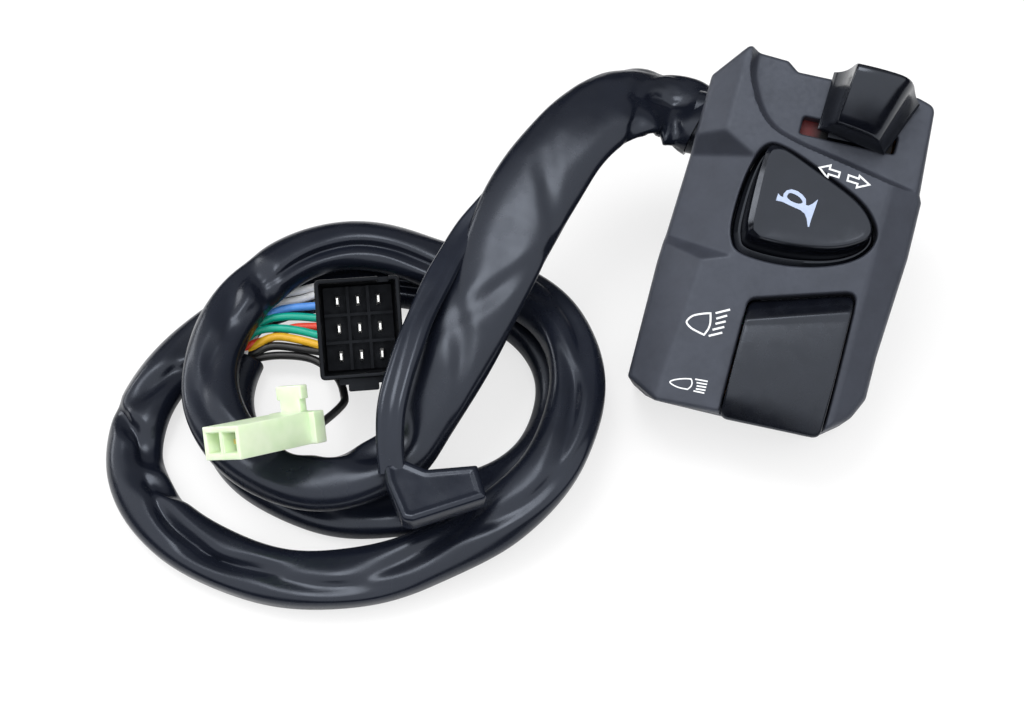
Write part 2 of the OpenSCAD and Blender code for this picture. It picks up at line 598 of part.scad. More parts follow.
// Beam rocker, drawn with its upper end pressed
module rocker_arm() { translate([0, pivot_v, pivot_w]) rotate([-rocker_swing / 2, 0, 0]) children(); }
module beam_rocker() {
    u0 = rocker_u0;
    u1 = rocker_u1;
    color("black") lay() difference() {
        union() {
            difference() {
                prism_u([[bottom + 0.5, rocker_lip], [bottom + 0.2, face + 2], [bottom + 1.2, face + 3.4],
                         [-35, face + 2.4], [-28, face + 1.8], [-21, face + 1.5], [-7, face + 1.3], [-7, rocker_foot],
                         [bottom + wall + 1.6, rocker_foot], [bottom + wall + 1.3, rocker_lip]], u0, u1);
                prism_w([[u0 - 1, -16.1], [u1 + 1, -8.3], [u1 + 1, 0], [u0 - 1, 0]], 0, far);
                prism_w([[u0 - 1, bottom - 2], [u1 + 1, bottom - 2], [u1 + 1, bottom + 1.5], [u0 - 1, bottom + 0.1]],
                        0, far);
                prism_w([[u1 - 3.5, -39.9], [u1 - 3.5, -far], [u1 + 1, -far], [u1 + 1, -36.2]], 0, rocker_lip);
                slab([[u0 - 1, -20.9, face + 1.6], [u1 + 1, -13.8, face + 1.6],
                      [u1 + 1, -7.6, face - 2.2], [u0 - 1, -15.4, face - 2.2]],
                     [[u0 - 1, -20.9, far], [u1 + 1, -13.8, far], [u1 + 1, -7.6, far], [u0 - 1, -15.4, far]]);
            }
            rod_u(u0, u1, pivot_v, pivot_w, hub_r);
            box(u0, u1, pivot_v - 2.4, pivot_v + 2.4, pivot_w, rocker_foot + 1);
            rocker_arm() rod_w(slot_u - 5, 0, -6.5, 0, 3);
            rocker_arm() box(slot_u + 1, slot_u + 8, -2.4, 2.4, -wiper_reach + 0.7, 0);
        }
        rod_u(u0 - 1, u1 + 1, pivot_v, pivot_w, pin_r + pin_gap);
        rocker_arm() rod_w(slot_u - 5, 0, -7, -pin_r - 0.7, plunger_r + 0.1);
    }
}
module rocker_pin() {
    color("silver") lay() rod_u(rocker_u0 - ear_gap - ear_t, rocker_u1 + ear_gap + ear_t, pivot_v, pivot_w, pin_r);
}
module beam_plunger() {
    color("ivory") lay() rocker_arm() {
        rod_w(slot_u - 5, 0, -plunger_reach + plunger_r, -4.4, plunger_r);
        translate([slot_u - 5, 0, -plunger_reach + plunger_r]) sphere(r = plunger_r);
    }
}
module beam_plunger_spring() {
    color("silver") lay() rocker_arm() translate([slot_u - 5, 0, -4.2])
        tube(helix(1.3, 4.2 - pin_r - 1, 3, 12), 0.2, 0.2, 6);
}
module beam_wiper() {
    color("peru") lay() rocker_arm() box(slot_u + 1.4, slot_u + 7.6, -2, 2, -wiper_reach, -wiper_reach + 0.7);
}
beam_post_us = [rocker_u0 + 1, rocker_u1 - 8];
beam_contact_vs = [pivot_v - 4.5, pivot_v, pivot_v + 4.5];
module beam_board() {
    color("saddlebrown") lay() difference() {
        box(rocker_u0 - 1.4, rocker_u1 + 1.4, pivot_v - 11, pivot_v + 9.5,
            beam_board_top - beam_board_t, beam_board_top);
        for (v = beam_contact_vs) rod_w(slot_u + 4.5, v, 0, far, 1 + pin_gap);
        rod_w(cover_points[1].x, cover_points[1].y, 0, far, 2.9);
        box(cover_points[1].x, far, cover_points[1].y - 1.6, cover_points[1].y + 1.6, 0, far);
    }
}
module beam_contacts() {
    color("gold") lay() for (v = beam_contact_vs) {
        rod_w(slot_u + 4.5, v, beam_board_top - beam_board_t, beam_board_top + 0.1, 1);
        rod_w(slot_u + 4.5, v, beam_board_top, beam_board_top + 0.4, 1.6);
    }
}

// Harness
module cable_grommet() {
    color("black") lay() {
        exit_shape(exit_r, grommet_out, grommet_in);
        exit_shape(exit_r + 1.4, grommet_out, left + 0.7);
        exit_shape(exit_r + 1.1, cavity_left + 0.2, grommet_in);
    }
}
inner_routes = [[[-8, 25.6, board_top - board_t - 1.1], [-12, 25.6, 3.6], [-16, 25.6, 3.4], [grommet_in, 25.6, 3.4]],
                [[-8, 29.4, board_top - board_t - 1.1], [-12, 29.4, 3.6], [-16, 29.4, 3.4], [grommet_in, 29.4, 3.4]],
                [[-3.5, -19, beam_board_top + wire_d / 2], [-6, -17, 6.8], [-7.6, -13.6, 8], [-8.6, -7.4, 12.8],
                 [-8.6, 0, 14.8], [-8.6, 7.4, 12.8], [-8.6, 12.8, 8], [-7.4, 18.5, 4.6], [-8.8, 22.2, 4],
                 [-13, 23.4, 3.8], [grommet_in, 23.4, 3.4]]];
module inner_wires() {
    color("teal") lay() for (r = inner_routes)
        tube(smooth(r, 6 * (len(r) - 1)), wire_d / 2, wire_d / 2, 8, last = [-1, 0, 0]);
}
module upper_sleeve() {
    swell = [for (n = [0 : upper_rings]) sleeve_w / 2 + (upper_w - sleeve_w) / 2 * sin(180 * n / upper_rings)];
    color("darkslategray") tube(upper_path, swell, sleeve_t / 2, 10, [-1, 0, 0], loop_first);
}
module loop_sleeve() {
    color("darkslategray") tube(loop_path, sleeve_w / 2, sleeve_t / 2, 10, loop_first, loop_last);
}
module side_lead() {
    color("dimgray") tube(smooth([for (p = side_route) up(p)], 24), side_w / 2, side_t / 2, 8);
}
module side_boot() {
    color("dimgray") difference() {
        prism_w(boot_outline, table + boot_low, table + boot_low + boot_t);
        translate(up([boot_mouth.x, boot_mouth.y, boot_low])) rotate([0, 0, boot_turn])
            box(-9, 2, -3.2, 3.2, boot_wall, boot_t - boot_wall);
    }
}
module fan(spots) {
    for (s = spots) tube(fan_path(s.x, s.y), wire_d / 2, wire_d / 2, 8, loop_last, plug_turn([0, 0, 1]));
}
module wires_white() { color("white") fan([[-1, 1], [-1, -1]]); }
module wire_blue() { color("dodgerblue") fan([[-1, 0]]); }
module wires_green() { color("mediumseagreen") fan([[0, 1], [1, 1]]); }
module wire_red() { color("red") fan([[0, 0]]); }
module wire_yellow() { color("gold") fan([[1, 0]]); }
module wires_black() { color("black") fan([[0, -1], [1, -1]]); }
module in_plug() {
    translate(plug_at) rotate([0, 0, plug_yaw]) rotate([0, plug_pitch, 0]) rotate([0, 0, plug_roll]) children();
}
half_w = plug_w / 2;
half_h = plug_h / 2;
pin_spots = [for (c = [-1 : 1]) for (r = [-1 : 1]) [c * pitch_across, r * pitch_up]];
module plug_housing() {
    color("black") in_plug() difference() {
        union() {
            box(-half_w, half_w, -half_h, half_h, -plug_len, 0);
            box(-3.5, 3.5, -half_h - 3, -half_h + 0.1, -8, -1.5);
            box(-5.5, 5.5, -half_h - 1.4, -half_h + 0.1, -13, -1.5);
        }
        box(plug_wall - half_w, half_w - plug_wall, plug_wall - half_h, half_h - plug_wall, -socket_depth, 1);
        box(half_w - 5, half_w - 2.4, half_h - plug_wall - 1, half_h + 1, -7, 1);
        for (s = pin_spots) translate([s.x, s.y, -plug_len]) cube([1, 2.6, 60], center = true);
    }
}
module plug_pins() {
    color("silver") in_plug() for (s = pin_spots) translate([s.x, s.y, 0]) {
        box(-0.4, 0.4, -1.2, 1.2, -plug_len + 0.05, -socket_depth + pin_len - 1);
        box(-0.4, 0.4, -0.7, 0.7, -socket_depth + pin_len - 1.1, -socket_depth + pin_len);
    }
}
lead_dir = [cos(lead_yaw) * cos(lead_pitch), sin(lead_yaw) * cos(lead_pitch), sin(lead_pitch)];
lead_end = lead_at - lead_dir * lead_conn_len / 2;
lead_first = sleeve_end + end_side * (sleeve_w / 2 - wire_d / 2 - 0.5);
module lead_wire() {
    route = concat([lead_first], [for (p = lead_route) up(p)], [lead_end - lead_dir * 3.5 + [1, 0, 0], lead_end]);
    color("black") tube(smooth(route, 32), wire_d / 2, wire_d / 2, 8, loop_last, lead_dir);
}
module in_lead() { translate(lead_at) rotate([0, 0, lead_yaw]) rotate([0, -lead_pitch, 0]) rotate([lead_roll, 0, 0]) children(); }
module lead_connector() {
    half = lead_conn_len / 2;
    color("honeydew") in_lead() difference() {
        union() {
            box(-half, half, -lead_conn_w / 2, lead_conn_w / 2, -lead_conn_t / 2, lead_conn_t / 2);
            box(-half, -half + 3.4, -lead_conn_w / 2 - 1.6, lead_conn_w / 2 + 1.6, -lead_conn_t / 2, lead_conn_t / 2);
            box(-half + 1, -half + 3.4, -3, 3, lead_conn_t / 2 - 0.1, lead_conn_t / 2 + 3);
            box(-half + 1, -half + 3.4, -3.8, 3.8, lead_conn_t / 2 + 2.9, lead_conn_t / 2 + 6);
        }
        for (s = [-1, 1])
            box(half - 9, half + 1, s * 2.5 - 1.9, s * 2.5 + 1.9, -lead_conn_t / 2 + 1.4, lead_conn_t / 2 - 1.4);
    }
}
module lead_terminals() {
    color("gold") in_lead() translate([0, 2.5, 0])
        box(lead_conn_len / 2 - 9, lead_conn_len / 2 - 2.5, -1.3, 1.3, -0.5, 0.5);
}

front_housing();
rear_housing();
housing_screws();
lower_cover();
cover_screws();
turn_knob();
turn_carrier();
turn_knob_screw();
turn_wiper();
turn_detent_ball();
turn_detent_spring();
turn_board();
turn_contacts();
turn_board_screws();
horn_button();
horn_contact_strip();
horn_spring();
horn_base();
horn_contact();
beam_rocker();
beam_plunger();
beam_plunger_spring();
beam_wiper();
rocker_pin();
beam_board();
beam_contacts();
cable_grommet();
inner_wires();
upper_sleeve();
loop_sleeve();
side_lead();
side_boot();
wires_white();
wire_blue();
wires_green();
wire_red();
wire_yellow();
wires_black();
plug_housing();
plug_pins();
lead_wire();
lead_connector();
lead_terminals();
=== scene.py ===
"""Handlebar switch cluster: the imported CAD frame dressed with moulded, soft and metal finishes."""
import json
import math

import bmesh
import bpy
import numpy as np
from mathutils import Matrix, Vector, geometry, noise
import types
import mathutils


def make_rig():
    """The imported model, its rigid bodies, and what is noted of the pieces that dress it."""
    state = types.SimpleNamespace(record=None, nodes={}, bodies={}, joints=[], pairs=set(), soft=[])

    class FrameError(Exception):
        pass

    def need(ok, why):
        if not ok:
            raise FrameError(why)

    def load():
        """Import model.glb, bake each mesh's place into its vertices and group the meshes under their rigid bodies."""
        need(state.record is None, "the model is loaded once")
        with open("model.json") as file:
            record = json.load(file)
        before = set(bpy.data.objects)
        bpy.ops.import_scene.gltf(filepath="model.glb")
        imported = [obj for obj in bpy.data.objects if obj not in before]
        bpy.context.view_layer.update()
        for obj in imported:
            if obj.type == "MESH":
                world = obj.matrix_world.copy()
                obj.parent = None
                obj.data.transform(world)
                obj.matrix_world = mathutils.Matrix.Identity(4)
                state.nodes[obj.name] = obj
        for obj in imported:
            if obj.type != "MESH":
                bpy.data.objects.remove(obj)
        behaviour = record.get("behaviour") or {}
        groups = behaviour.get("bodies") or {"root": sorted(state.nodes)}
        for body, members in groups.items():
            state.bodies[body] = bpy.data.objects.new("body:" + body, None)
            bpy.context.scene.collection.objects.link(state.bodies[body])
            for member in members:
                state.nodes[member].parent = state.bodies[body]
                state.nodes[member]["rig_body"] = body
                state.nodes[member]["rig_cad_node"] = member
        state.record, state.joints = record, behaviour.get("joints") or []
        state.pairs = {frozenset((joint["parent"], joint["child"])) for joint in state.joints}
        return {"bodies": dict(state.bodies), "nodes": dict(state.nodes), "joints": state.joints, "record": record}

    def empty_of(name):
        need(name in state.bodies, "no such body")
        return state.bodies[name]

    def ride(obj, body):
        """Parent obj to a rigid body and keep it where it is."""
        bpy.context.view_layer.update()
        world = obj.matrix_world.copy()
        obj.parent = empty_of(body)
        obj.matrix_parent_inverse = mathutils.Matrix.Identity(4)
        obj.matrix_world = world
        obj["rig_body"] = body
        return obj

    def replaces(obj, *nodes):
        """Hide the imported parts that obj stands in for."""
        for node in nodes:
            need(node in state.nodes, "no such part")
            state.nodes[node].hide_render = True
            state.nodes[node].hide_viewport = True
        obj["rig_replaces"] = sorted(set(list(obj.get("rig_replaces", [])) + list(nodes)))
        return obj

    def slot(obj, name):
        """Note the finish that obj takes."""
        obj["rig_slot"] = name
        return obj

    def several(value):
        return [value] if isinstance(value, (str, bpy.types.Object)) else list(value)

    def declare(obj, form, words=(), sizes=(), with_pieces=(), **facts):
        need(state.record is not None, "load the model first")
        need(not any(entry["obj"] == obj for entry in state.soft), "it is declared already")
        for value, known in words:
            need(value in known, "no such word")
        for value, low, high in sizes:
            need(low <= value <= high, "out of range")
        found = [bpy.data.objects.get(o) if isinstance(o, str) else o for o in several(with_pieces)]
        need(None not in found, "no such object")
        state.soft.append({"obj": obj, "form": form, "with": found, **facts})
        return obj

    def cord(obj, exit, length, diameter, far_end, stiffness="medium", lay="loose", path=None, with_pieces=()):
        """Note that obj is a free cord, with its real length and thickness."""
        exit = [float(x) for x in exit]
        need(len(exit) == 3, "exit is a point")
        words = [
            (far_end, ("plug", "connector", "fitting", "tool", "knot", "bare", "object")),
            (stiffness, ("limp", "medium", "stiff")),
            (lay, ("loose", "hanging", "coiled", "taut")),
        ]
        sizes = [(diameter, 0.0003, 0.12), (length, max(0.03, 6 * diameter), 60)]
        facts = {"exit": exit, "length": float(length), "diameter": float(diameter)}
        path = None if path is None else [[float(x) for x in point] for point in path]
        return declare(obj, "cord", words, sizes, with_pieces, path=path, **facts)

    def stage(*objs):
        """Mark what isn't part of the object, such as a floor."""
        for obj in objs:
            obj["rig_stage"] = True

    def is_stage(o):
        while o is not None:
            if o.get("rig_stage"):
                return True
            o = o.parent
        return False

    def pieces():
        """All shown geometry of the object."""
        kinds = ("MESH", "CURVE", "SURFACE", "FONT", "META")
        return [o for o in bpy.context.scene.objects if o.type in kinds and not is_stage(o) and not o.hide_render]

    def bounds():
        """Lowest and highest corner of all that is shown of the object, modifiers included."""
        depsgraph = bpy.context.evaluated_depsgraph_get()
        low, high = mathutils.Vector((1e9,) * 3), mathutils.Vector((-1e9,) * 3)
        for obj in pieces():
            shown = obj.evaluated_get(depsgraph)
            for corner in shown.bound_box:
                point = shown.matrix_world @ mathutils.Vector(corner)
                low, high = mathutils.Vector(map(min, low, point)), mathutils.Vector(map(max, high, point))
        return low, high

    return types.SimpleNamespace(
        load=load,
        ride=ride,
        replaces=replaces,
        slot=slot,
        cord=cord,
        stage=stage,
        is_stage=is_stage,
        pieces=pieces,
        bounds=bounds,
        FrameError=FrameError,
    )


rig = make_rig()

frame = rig.load()
CAD_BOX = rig.bounds()

bl_info = {
    "name": "Handlebar Switch Cluster",
    "version": (1, 0, 0),
    "blender": (4, 5, 0),
    "location": "View3D > Sidebar > Switch",
    "description": "Dresses a handlebar switch cluster and its harness around a packed CAD frame",
    "category": "Object",
}

MM = 0.001
UP = Vector((0, 0, 1))

# Sizes repeated from the CAD source, in millimetres, in the switch's own u, v, w frame
BAR_R = 11.1
BACK_R = 20.5
BOTTOM_REACH = 43.5
LEFT = -27.5
RIGHT = 28.0
TOP = 42.0
FACE = 24.0
PLATE = 20.5
LOW_CEILING = 20.0
MID_CEILING = 20.5
TURN_CEILING = 17.5
CAVITY_LEFT = -22.0
ROCKER_U0 = -4.4
ROCKER_U1 = 18.4
ROCKER_SILL = 19.0
SLOT_U = 8.0
SLOT_V = 27.7
SLOT_LEN = 22.0
SLOT_H = 4.2
EXIT_V = 27.0
EXIT_W = 4.5
TILT = math.asin(BACK_R / BOTTOM_REACH)
TABLE = -BACK_R

# Harness routes, fitted to the photo, as x, y and height over the table in millimetres
UPPER_ROUTE = [(-36, 23, 39), (-44.5, 18.5, 43), (-53.6, 7, 42), (-60.2, -11, 37.5), (-63.6, -36, 31.5),
               (-66.8, -58, 25)]
LOOP_CENTRE = (-85, -58)
LOOP_START = -55
LOOP_REACH = [24, 32.5, 38.5, 40, 40, 34.8, 46, 48, 46, 53, 60, 45.5, 35.5, 35, 44, 42, 32, 32, 36.5, 37, 36]
LOW_LAYER = 4.6
HIGH_LAYER = 14.8
LOOP_LAYERS = [HIGH_LAYER + 2] + [HIGH_LAYER] * 7 + [LOW_LAYER + 3, LOW_LAYER + 0.4] + [LOW_LAYER] * 11
LOOP_EIGHTHS = 18.75
SIDE_ROUTE = [(-55.4, 4.0, 41.2), (-60.6, -3.4, 38.0), (-65.8, -9.4, 35.9), (-68.6, -14, 35.6),
              (-72.8, -26.5, 34), (-74.9, -43.5, 33.4), (-75.3, -59.5, 32.2), (-74.6, -72.5, 30),
              (-72.6, -80.5, 26.8), (-70.3, -86, 23)]
BOOT_OUTLINE = [(-72.7, -85.6), (-70.5, -89.6), (-64.2, -97), (-61.8, -96.6), (-48.2, -86.4), (-52.8, -79.3),
                (-63.1, -83.6), (-69.3, -82.7)]
BOOT_ROUND = [1.6, 2.0, 2.6, 2.2, 0.9, 0.7, 1.6, 1.4]
BOOT_LOW = 20.4
BOOT_THICK = 4.4
BOOT_DISH = 0.16
BOOT_EDGE = 1.2
BOOT_MOUTH = (-50.5, -82.85)
BOOT_TURN = math.radians(29)
PLUG_AT = (-88, -57, 31.5)
PLUG_TURN = (Matrix.Rotation(math.radians(-62), 3, "Z") @ Matrix.Rotation(math.radians(35), 3, "Y")
             @ Matrix.Rotation(math.radians(85), 3, "Z"))
PLUG_W = 19.5
PLUG_H = 23.0
PLUG_LEN = 27.0
SOCKET_DEPTH = 16.0
PITCH_ACROSS = 4.8
PITCH_UP = 6.5
PIN_LEN = 8.0
# The plug's skin from its back round the mouth into the socket: inset and place along it
PLUG_LOOPS = [(2.0, -PLUG_LEN), (0.5, -PLUG_LEN), (0.1, -PLUG_LEN + 0.3), (0.0, -PLUG_LEN + 0.9), (0.0, -0.5),
              (0.1, -0.15), (0.3, 0.0), (0.7, 0.0), (0.95, -0.12), (1.05, -0.5), (1.1, -1.2),
              (1.3, -SOCKET_DEPTH + 0.5), (1.6, -SOCKET_DEPTH)]
# Each section of a pin: half its thickness, half its width and its place along the plug
PIN_SECTIONS = [(0.42, 1.2, -PLUG_LEN + 0.05), (0.42, 1.2, -SOCKET_DEPTH + PIN_LEN - 1.6),
                (0.22, 0.75, -SOCKET_DEPTH + PIN_LEN)]
RIB_SPAN = (-SOCKET_DEPTH - 0.5, -SOCKET_DEPTH + 3.2)
LEAD_AT = (-98.8, -88.9, 29.9)
LEAD_YAW = math.radians(240)
LEAD_PITCH = math.radians(38.6)
LEAD_CONN_LEN = 25.0
LEAD_ROUTE = [(-118, -57.5, 5.5), (-112, -54.8, 6), (-104, -53.6, 6), (-97, -56, 5), (-93, -61, 6),
              (-91.5, -66, 9.5)]


# Settings
def length_setting(name, text, value, low, high):
    return bpy.props.FloatProperty(name=name, description=text + ", in metres", default=value, min=low,
                                   max=high, subtype="DISTANCE", unit="LENGTH")


def colour_setting(name, text, value):
    return bpy.props.FloatVectorProperty(name=name, description=text, default=value, min=0, max=1, size=3,
                                         subtype="COLOR")


class SwitchHousingSettings(bpy.types.PropertyGroup):
    """Sizes of the moulded housing and its controls."""

    edge_round: length_setting("Edge rounding", "Radius along the housing's outer edge", 0.0011, 0.0002,
                               0.002)
    hole_round: length_setting("Opening rounding", "Radius along the rims of the openings", 0.0006, 0.0001,
                               0.001)
    crease_round: length_setting("Crease softness", "How softly the faces of the housing run into each other",
                                 0.0005, 0.0002, 0.003)


class SwitchHarnessSettings(bpy.types.PropertyGroup):
    """Sizes of the sleeve and the wires."""

    sleeve_width: length_setting("Sleeve width", "Width of the looped sleeve", 0.0135, 0.01, 0.016)
    sleeve_thickness: length_setting("Sleeve thickness", "Thickness of the looped sleeve", 0.009, 0.006,
                                     0.0095)
    upper_width: length_setting("Upper sleeve width", "Width of the sleeve where it lies flattest",
                                0.0218, 0.014, 0.022)
    wire_diameter: length_setting("Wire diameter", "Outside diameter of one wire", 0.002, 0.0012, 0.0022)


class SwitchFinishSettings(bpy.types.PropertyGroup):
    """Colours of the finishes."""

    housing: colour_setting("Housing", "Charcoal of the moulded housing", (0.028, 0.031, 0.042))
    button: colour_setting("Buttons", "Black of the knob, button and rocker", (0.0030, 0.0036, 0.0062))
    vinyl: colour_setting("Vinyl", "Slate of the soft sleeve", (0.0055, 0.0070, 0.0125))
    ink: colour_setting("Ink", "White of the printed symbols", (0.82, 0.84, 0.86))


# Points and curves
def at_face(u, v, w):
    """A point of the switch's own frame, in millimetres, as a point of the row frame in metres."""
    return Vector((u, v * math.cos(TILT) - w * math.sin(TILT), v * math.sin(TILT) + w * math.cos(TILT))) * MM


def over_table(p):
    """A point given as x, y and height over the table, in millimetres, in the row frame in metres."""
    return Vector((p[0], p[1], p[2] + TABLE)) * MM


def cubic(a, b, c, d, t):
    bend, twist = 2 * a - 5 * b + 4 * c - d, 3 * b - a - 3 * c + d
    return 0.5 * (2 * b + (c - a) * t + bend * t * t + twist * t * t * t)


def along(values, s):
    last = len(values) - 1
    i = min(int(math.floor(s)), last - 1)
    pick = lambda k: values[max(0, min(last, k))]
    return cubic(pick(i - 1), pick(i), pick(i + 1), pick(i + 2), s - i)


def smooth_route(points, steps):
    return [along(points, n * (len(points) - 1) / steps) for n in range(steps + 1)]


def route_length(points):
    return sum((b - a).length for a, b in zip(points, points[1:]))


def even_route(points, step):
    """The same route with its points a fixed distance apart."""
    total = route_length(points)
    count = max(2, round(total / step))
    out, walked, i = [], 0.0, 0
    for n in range(count + 1):
        want = total * n / count
        while i < len(points) - 2 and walked + (points[i + 1] - points[i]).length < want:
            walked += (points[i + 1] - points[i]).length
            i += 1
        piece = (points[i + 1] - points[i]).length or 1e-9
        out.append(points[i].lerp(points[i + 1], min(1.0, (want - walked) / piece)))
    return out


def eased(points, rounds):
    """Rounds off tight turns of a route and keeps its ends."""
    for _ in range(rounds):
        middle = [(points[i - 1] + 2 * points[i] + points[i + 1]) / 4 for i in range(1, len(points) - 1)]
        points = [points[0]] + middle + [points[-1]]
    return points


def loop_point(k):
    a = math.radians(LOOP_START - 45 * k)
    r = along(LOOP_REACH, k)
    return over_table((LOOP_CENTRE[0] + r * math.cos(a), LOOP_CENTRE[1] + r * math.sin(a),
                       along(LOOP_LAYERS, k)))


def plug_point(p):
    return over_table(PLUG_AT) + PLUG_TURN @ Vector(p) * MM


def sleeve_end():
    """The open end of the sleeve: its place, the way out of it and the way across it."""
    out = (loop_point(LOOP_EIGHTHS + 0.05) - loop_point(LOOP_EIGHTHS - 0.05)).normalized()
    return loop_point(LOOP_EIGHTHS), out, out.cross(UP).normalized()


def axes_at(line, i):
    """The way along a route at one of its points, the way across it and the way up from both."""
    ahead = (line[min(i + 1, len(line) - 1)] - line[max(i - 1, 0)]).normalized()
    side = ahead.cross(UP).normalized()
    return ahead, side, side.cross(ahead)


def curve(a, b, c, t):
    """A point of the curve from a to c that is drawn towards b."""
    return a.lerp(b, t).lerp(b.lerp(c, t), t)


def turns(sides):
    """Angles round a section, each with its cosine and sine."""
    angles = [2 * math.pi * i / sides for i in range(sides)]
    return [(a, math.cos(a), math.sin(a)) for a in angles]


def wobble(x, y, z=0.0):
    return noise.noise(Vector((x, y, z)))


def squared(value, power):
    """A cosine or sine bent towards a square section."""
    return math.copysign(abs(value) ** power, value)


# Flat outlines
def rounded(points, radius, steps=6):
    """An outline with its corners turned into arcs; radius is one number or one for each corner."""
    out = []
    n = len(points)
    for i in range(n):
        p = Vector(points[i])
        a, b = Vector(points[i - 1]) - p, Vector(points[(i + 1) % n]) - p
        r = radius[i] if hasattr(radius, "__len__") else radius
        half = a.angle(b) / 2
        reach = min(r / math.tan(half) if half > 1e-4 else 0, 0.48 * a.length, 0.48 * b.length)
        if reach < 1e-4 or abs(math.pi / 2 - half) < 0.01:
            out.append(tuple(p))
            continue
        start, end = p + a.normalized() * reach, p + b.normalized() * reach
        out += [tuple(curve(start, p, end, k / steps)) for k in range(steps + 1)]
    return out


def flowing(points, steps):
    """A closed smooth outline through the points."""
    n = len(points)
    pts = [Vector(p) for p in points]
    out = []
    for i in range(n):
        for k in range(steps):
            out.append(tuple(cubic(pts[i - 1], pts[i], pts[(i + 1) % n], pts[(i + 2) % n], k / steps)))
    return out


def resampled(points, step):
    """A closed outline cut into near-even steps, with its own points kept."""
    out = []
    for i, p in enumerate(points):
        a, b = Vector(p), Vector(points[(i + 1) % len(points)])
        parts = max(1, math.ceil((b - a).length / step))
        out.extend(tuple(a.lerp(b, k / parts)) for k in range(parts))
    return out


def edge_distance(points, outline):
    """Distance of each point to an outline, positive inside."""
    p = np.asarray(points, float)
    a = np.asarray(outline, float)
    b = np.roll(a, -1, axis=0)
    best = np.full(len(p), 1e9)
    inside = np.zeros(len(p), bool)
    for s, e in zip(a, b):
        d = e - s
        t = np.clip(((p - s) @ d) / max(d @ d, 1e-12), 0, 1)
        best = np.minimum(best, np.hypot(*(p - s - t[:, None] * d).T))
        cross = (s[1] > p[:, 1]) != (e[1] > p[:, 1])
        with np.errstate(divide="ignore", invalid="ignore"):
            hit = p[:, 0] < (e[0] - s[0]) * (p[:, 1] - s[1]) / (e[1] - s[1]) + s[0]
        inside ^= cross & hit
    return np.where(inside, best, -best)


def fillet(d, r):
    """How far a rounded edge of radius r has dropped at distance d from the edge."""
    d = np.clip(d, 0, r)
    return r - np.sqrt(np.maximum(r * r - (r - d) ** 2, 0))


def soft_min(a, b, k):
    h = np.maximum(k - np.abs(a - b), 0) / k
    return np.minimum(a, b) - h * h * k / 4


def soft_max(a, b, k):
    return -soft_min(-a, -b, k)


def plane_height(p, q, r):
    """Height of the plane through three points, as a function of u and v."""
    p, q, r = np.array(p, float), np.array(q, float), np.array(r, float)
    n = np.cross(q - p, r - p)
    return lambda u, v: p[2] - (n[0] * (u - p[0]) + n[1] * (v - p[1])) / n[2]


# Meshes
def as_object(name, mesh):
    obj = bpy.data.objects.new(name, mesh)
    bpy.context.scene.collection.objects.link(obj)
    return obj


def from_points(name, points, faces, smooth=True):
    mesh = bpy.data.meshes.new(name)
    mesh.from_pydata([tuple(p) for p in points], [], faces)
    mesh.validate()
    if smooth:
        mesh.shade_smooth()
    return as_object(name, mesh)


def settle(obj):
    """Applies the modifiers, so that the piece is a plain mesh."""
    bpy.context.view_layer.update()
    mesh = bpy.data.meshes.new_from_object(obj.evaluated_get(bpy.context.evaluated_depsgraph_get()))
    old = obj.data
    obj.modifiers.clear()
    if obj.type == "CURVE":
        name = obj.name
        bpy.data.objects.remove(obj)
        mesh.name = name
        return as_object(name, mesh)
    obj.data = mesh
    bpy.data.meshes.remove(old)
    mesh.name = obj.name
    return obj


def crisp(obj, degrees=35):
    obj.data.shade_smooth()
    obj.data.set_sharp_from_angle(angle=math.radians(degrees))
    return obj


def combine(obj, operation, others):
    for other in others:
        m = obj.modifiers.new("combine", "BOOLEAN")
        m.operation = operation
        m.solver = "MANIFOLD"
        m.object = other
    settle(obj)
    for other in others:
        bpy.data.objects.remove(other)
    return obj


def cut(obj, *cutters):
    """Takes the cutters out of a closed piece."""
    return combine(obj, "DIFFERENCE", cutters)


def prism(outline, w0, w1, place=at_face):
    n = len(outline)
    points = [place(p[0], p[1], w) for w in (w0, w1) for p in outline]
    faces = [list(range(n - 1, -1, -1)), list(range(n, 2 * n))]
    faces += [[i, (i + 1) % n, n + (i + 1) % n, n + i] for i in range(n)]
    return from_points("cutter", points, faces, smooth=False)


def oblong(u0, u1, v0, v1):
    return [(u0, v0), (u1, v0), (u1, v1), (u0, v1)]


def rod(u0, u1, v, w, r, sides=96, half=0.0):
    """A rod along the bar; half stretches it sideways into an oblong."""
    ring = [(v + r * c + (half if c >= 0 else -half), w + r * n) for _, c, n in turns(sides)]
    points = [at_face(u, p[0], p[1]) for u in (u0, u1) for p in ring]
    faces = [list(range(sides)), list(range(2 * sides - 1, sides - 1, -1))]
    faces += [[i, sides + i, sides + (i + 1) % sides, (i + 1) % sides] for i in range(sides)]
    return outward(from_points("cutter", points, faces, smooth=False))


def outward(obj):
    bm = bmesh.new()
    bm.from_mesh(obj.data)
    bmesh.ops.remove_doubles(bm, verts=bm.verts, dist=1e-7)
    bmesh.ops.recalc_face_normals(bm, faces=bm.faces)
    bm.to_mesh(obj.data)
    bm.free()
    return obj


# How a moulding's top is cut into triangles: step along its rims, row distance per step,
# places across a rounding, how much finer bent places are and how much bend calls for it
RIM_STEP = 0.7
ROW_PITCH = 0.866
RIM_SHARES = (0.04, 0.15, 0.32, 0.55, 0.8, 1.0)
FINER = 0.4
BEND_LIMIT = 0.035


def lattice(rim, step):
    """Points of an even triangular lattice over the box of an outline."""
    lo, hi = np.min(rim, axis=0), np.max(rim, axis=0)
    out = []
    for row in range(math.ceil((hi[1] - lo[1]) / (step * ROW_PITCH))):
        start = lo[0] + (step / 2 if row % 2 else 0)
        count = math.ceil((hi[0] - start) / step)
        out += [(start + step * n, lo[1] + row * step * ROW_PITCH) for n in range(count)]
    return out


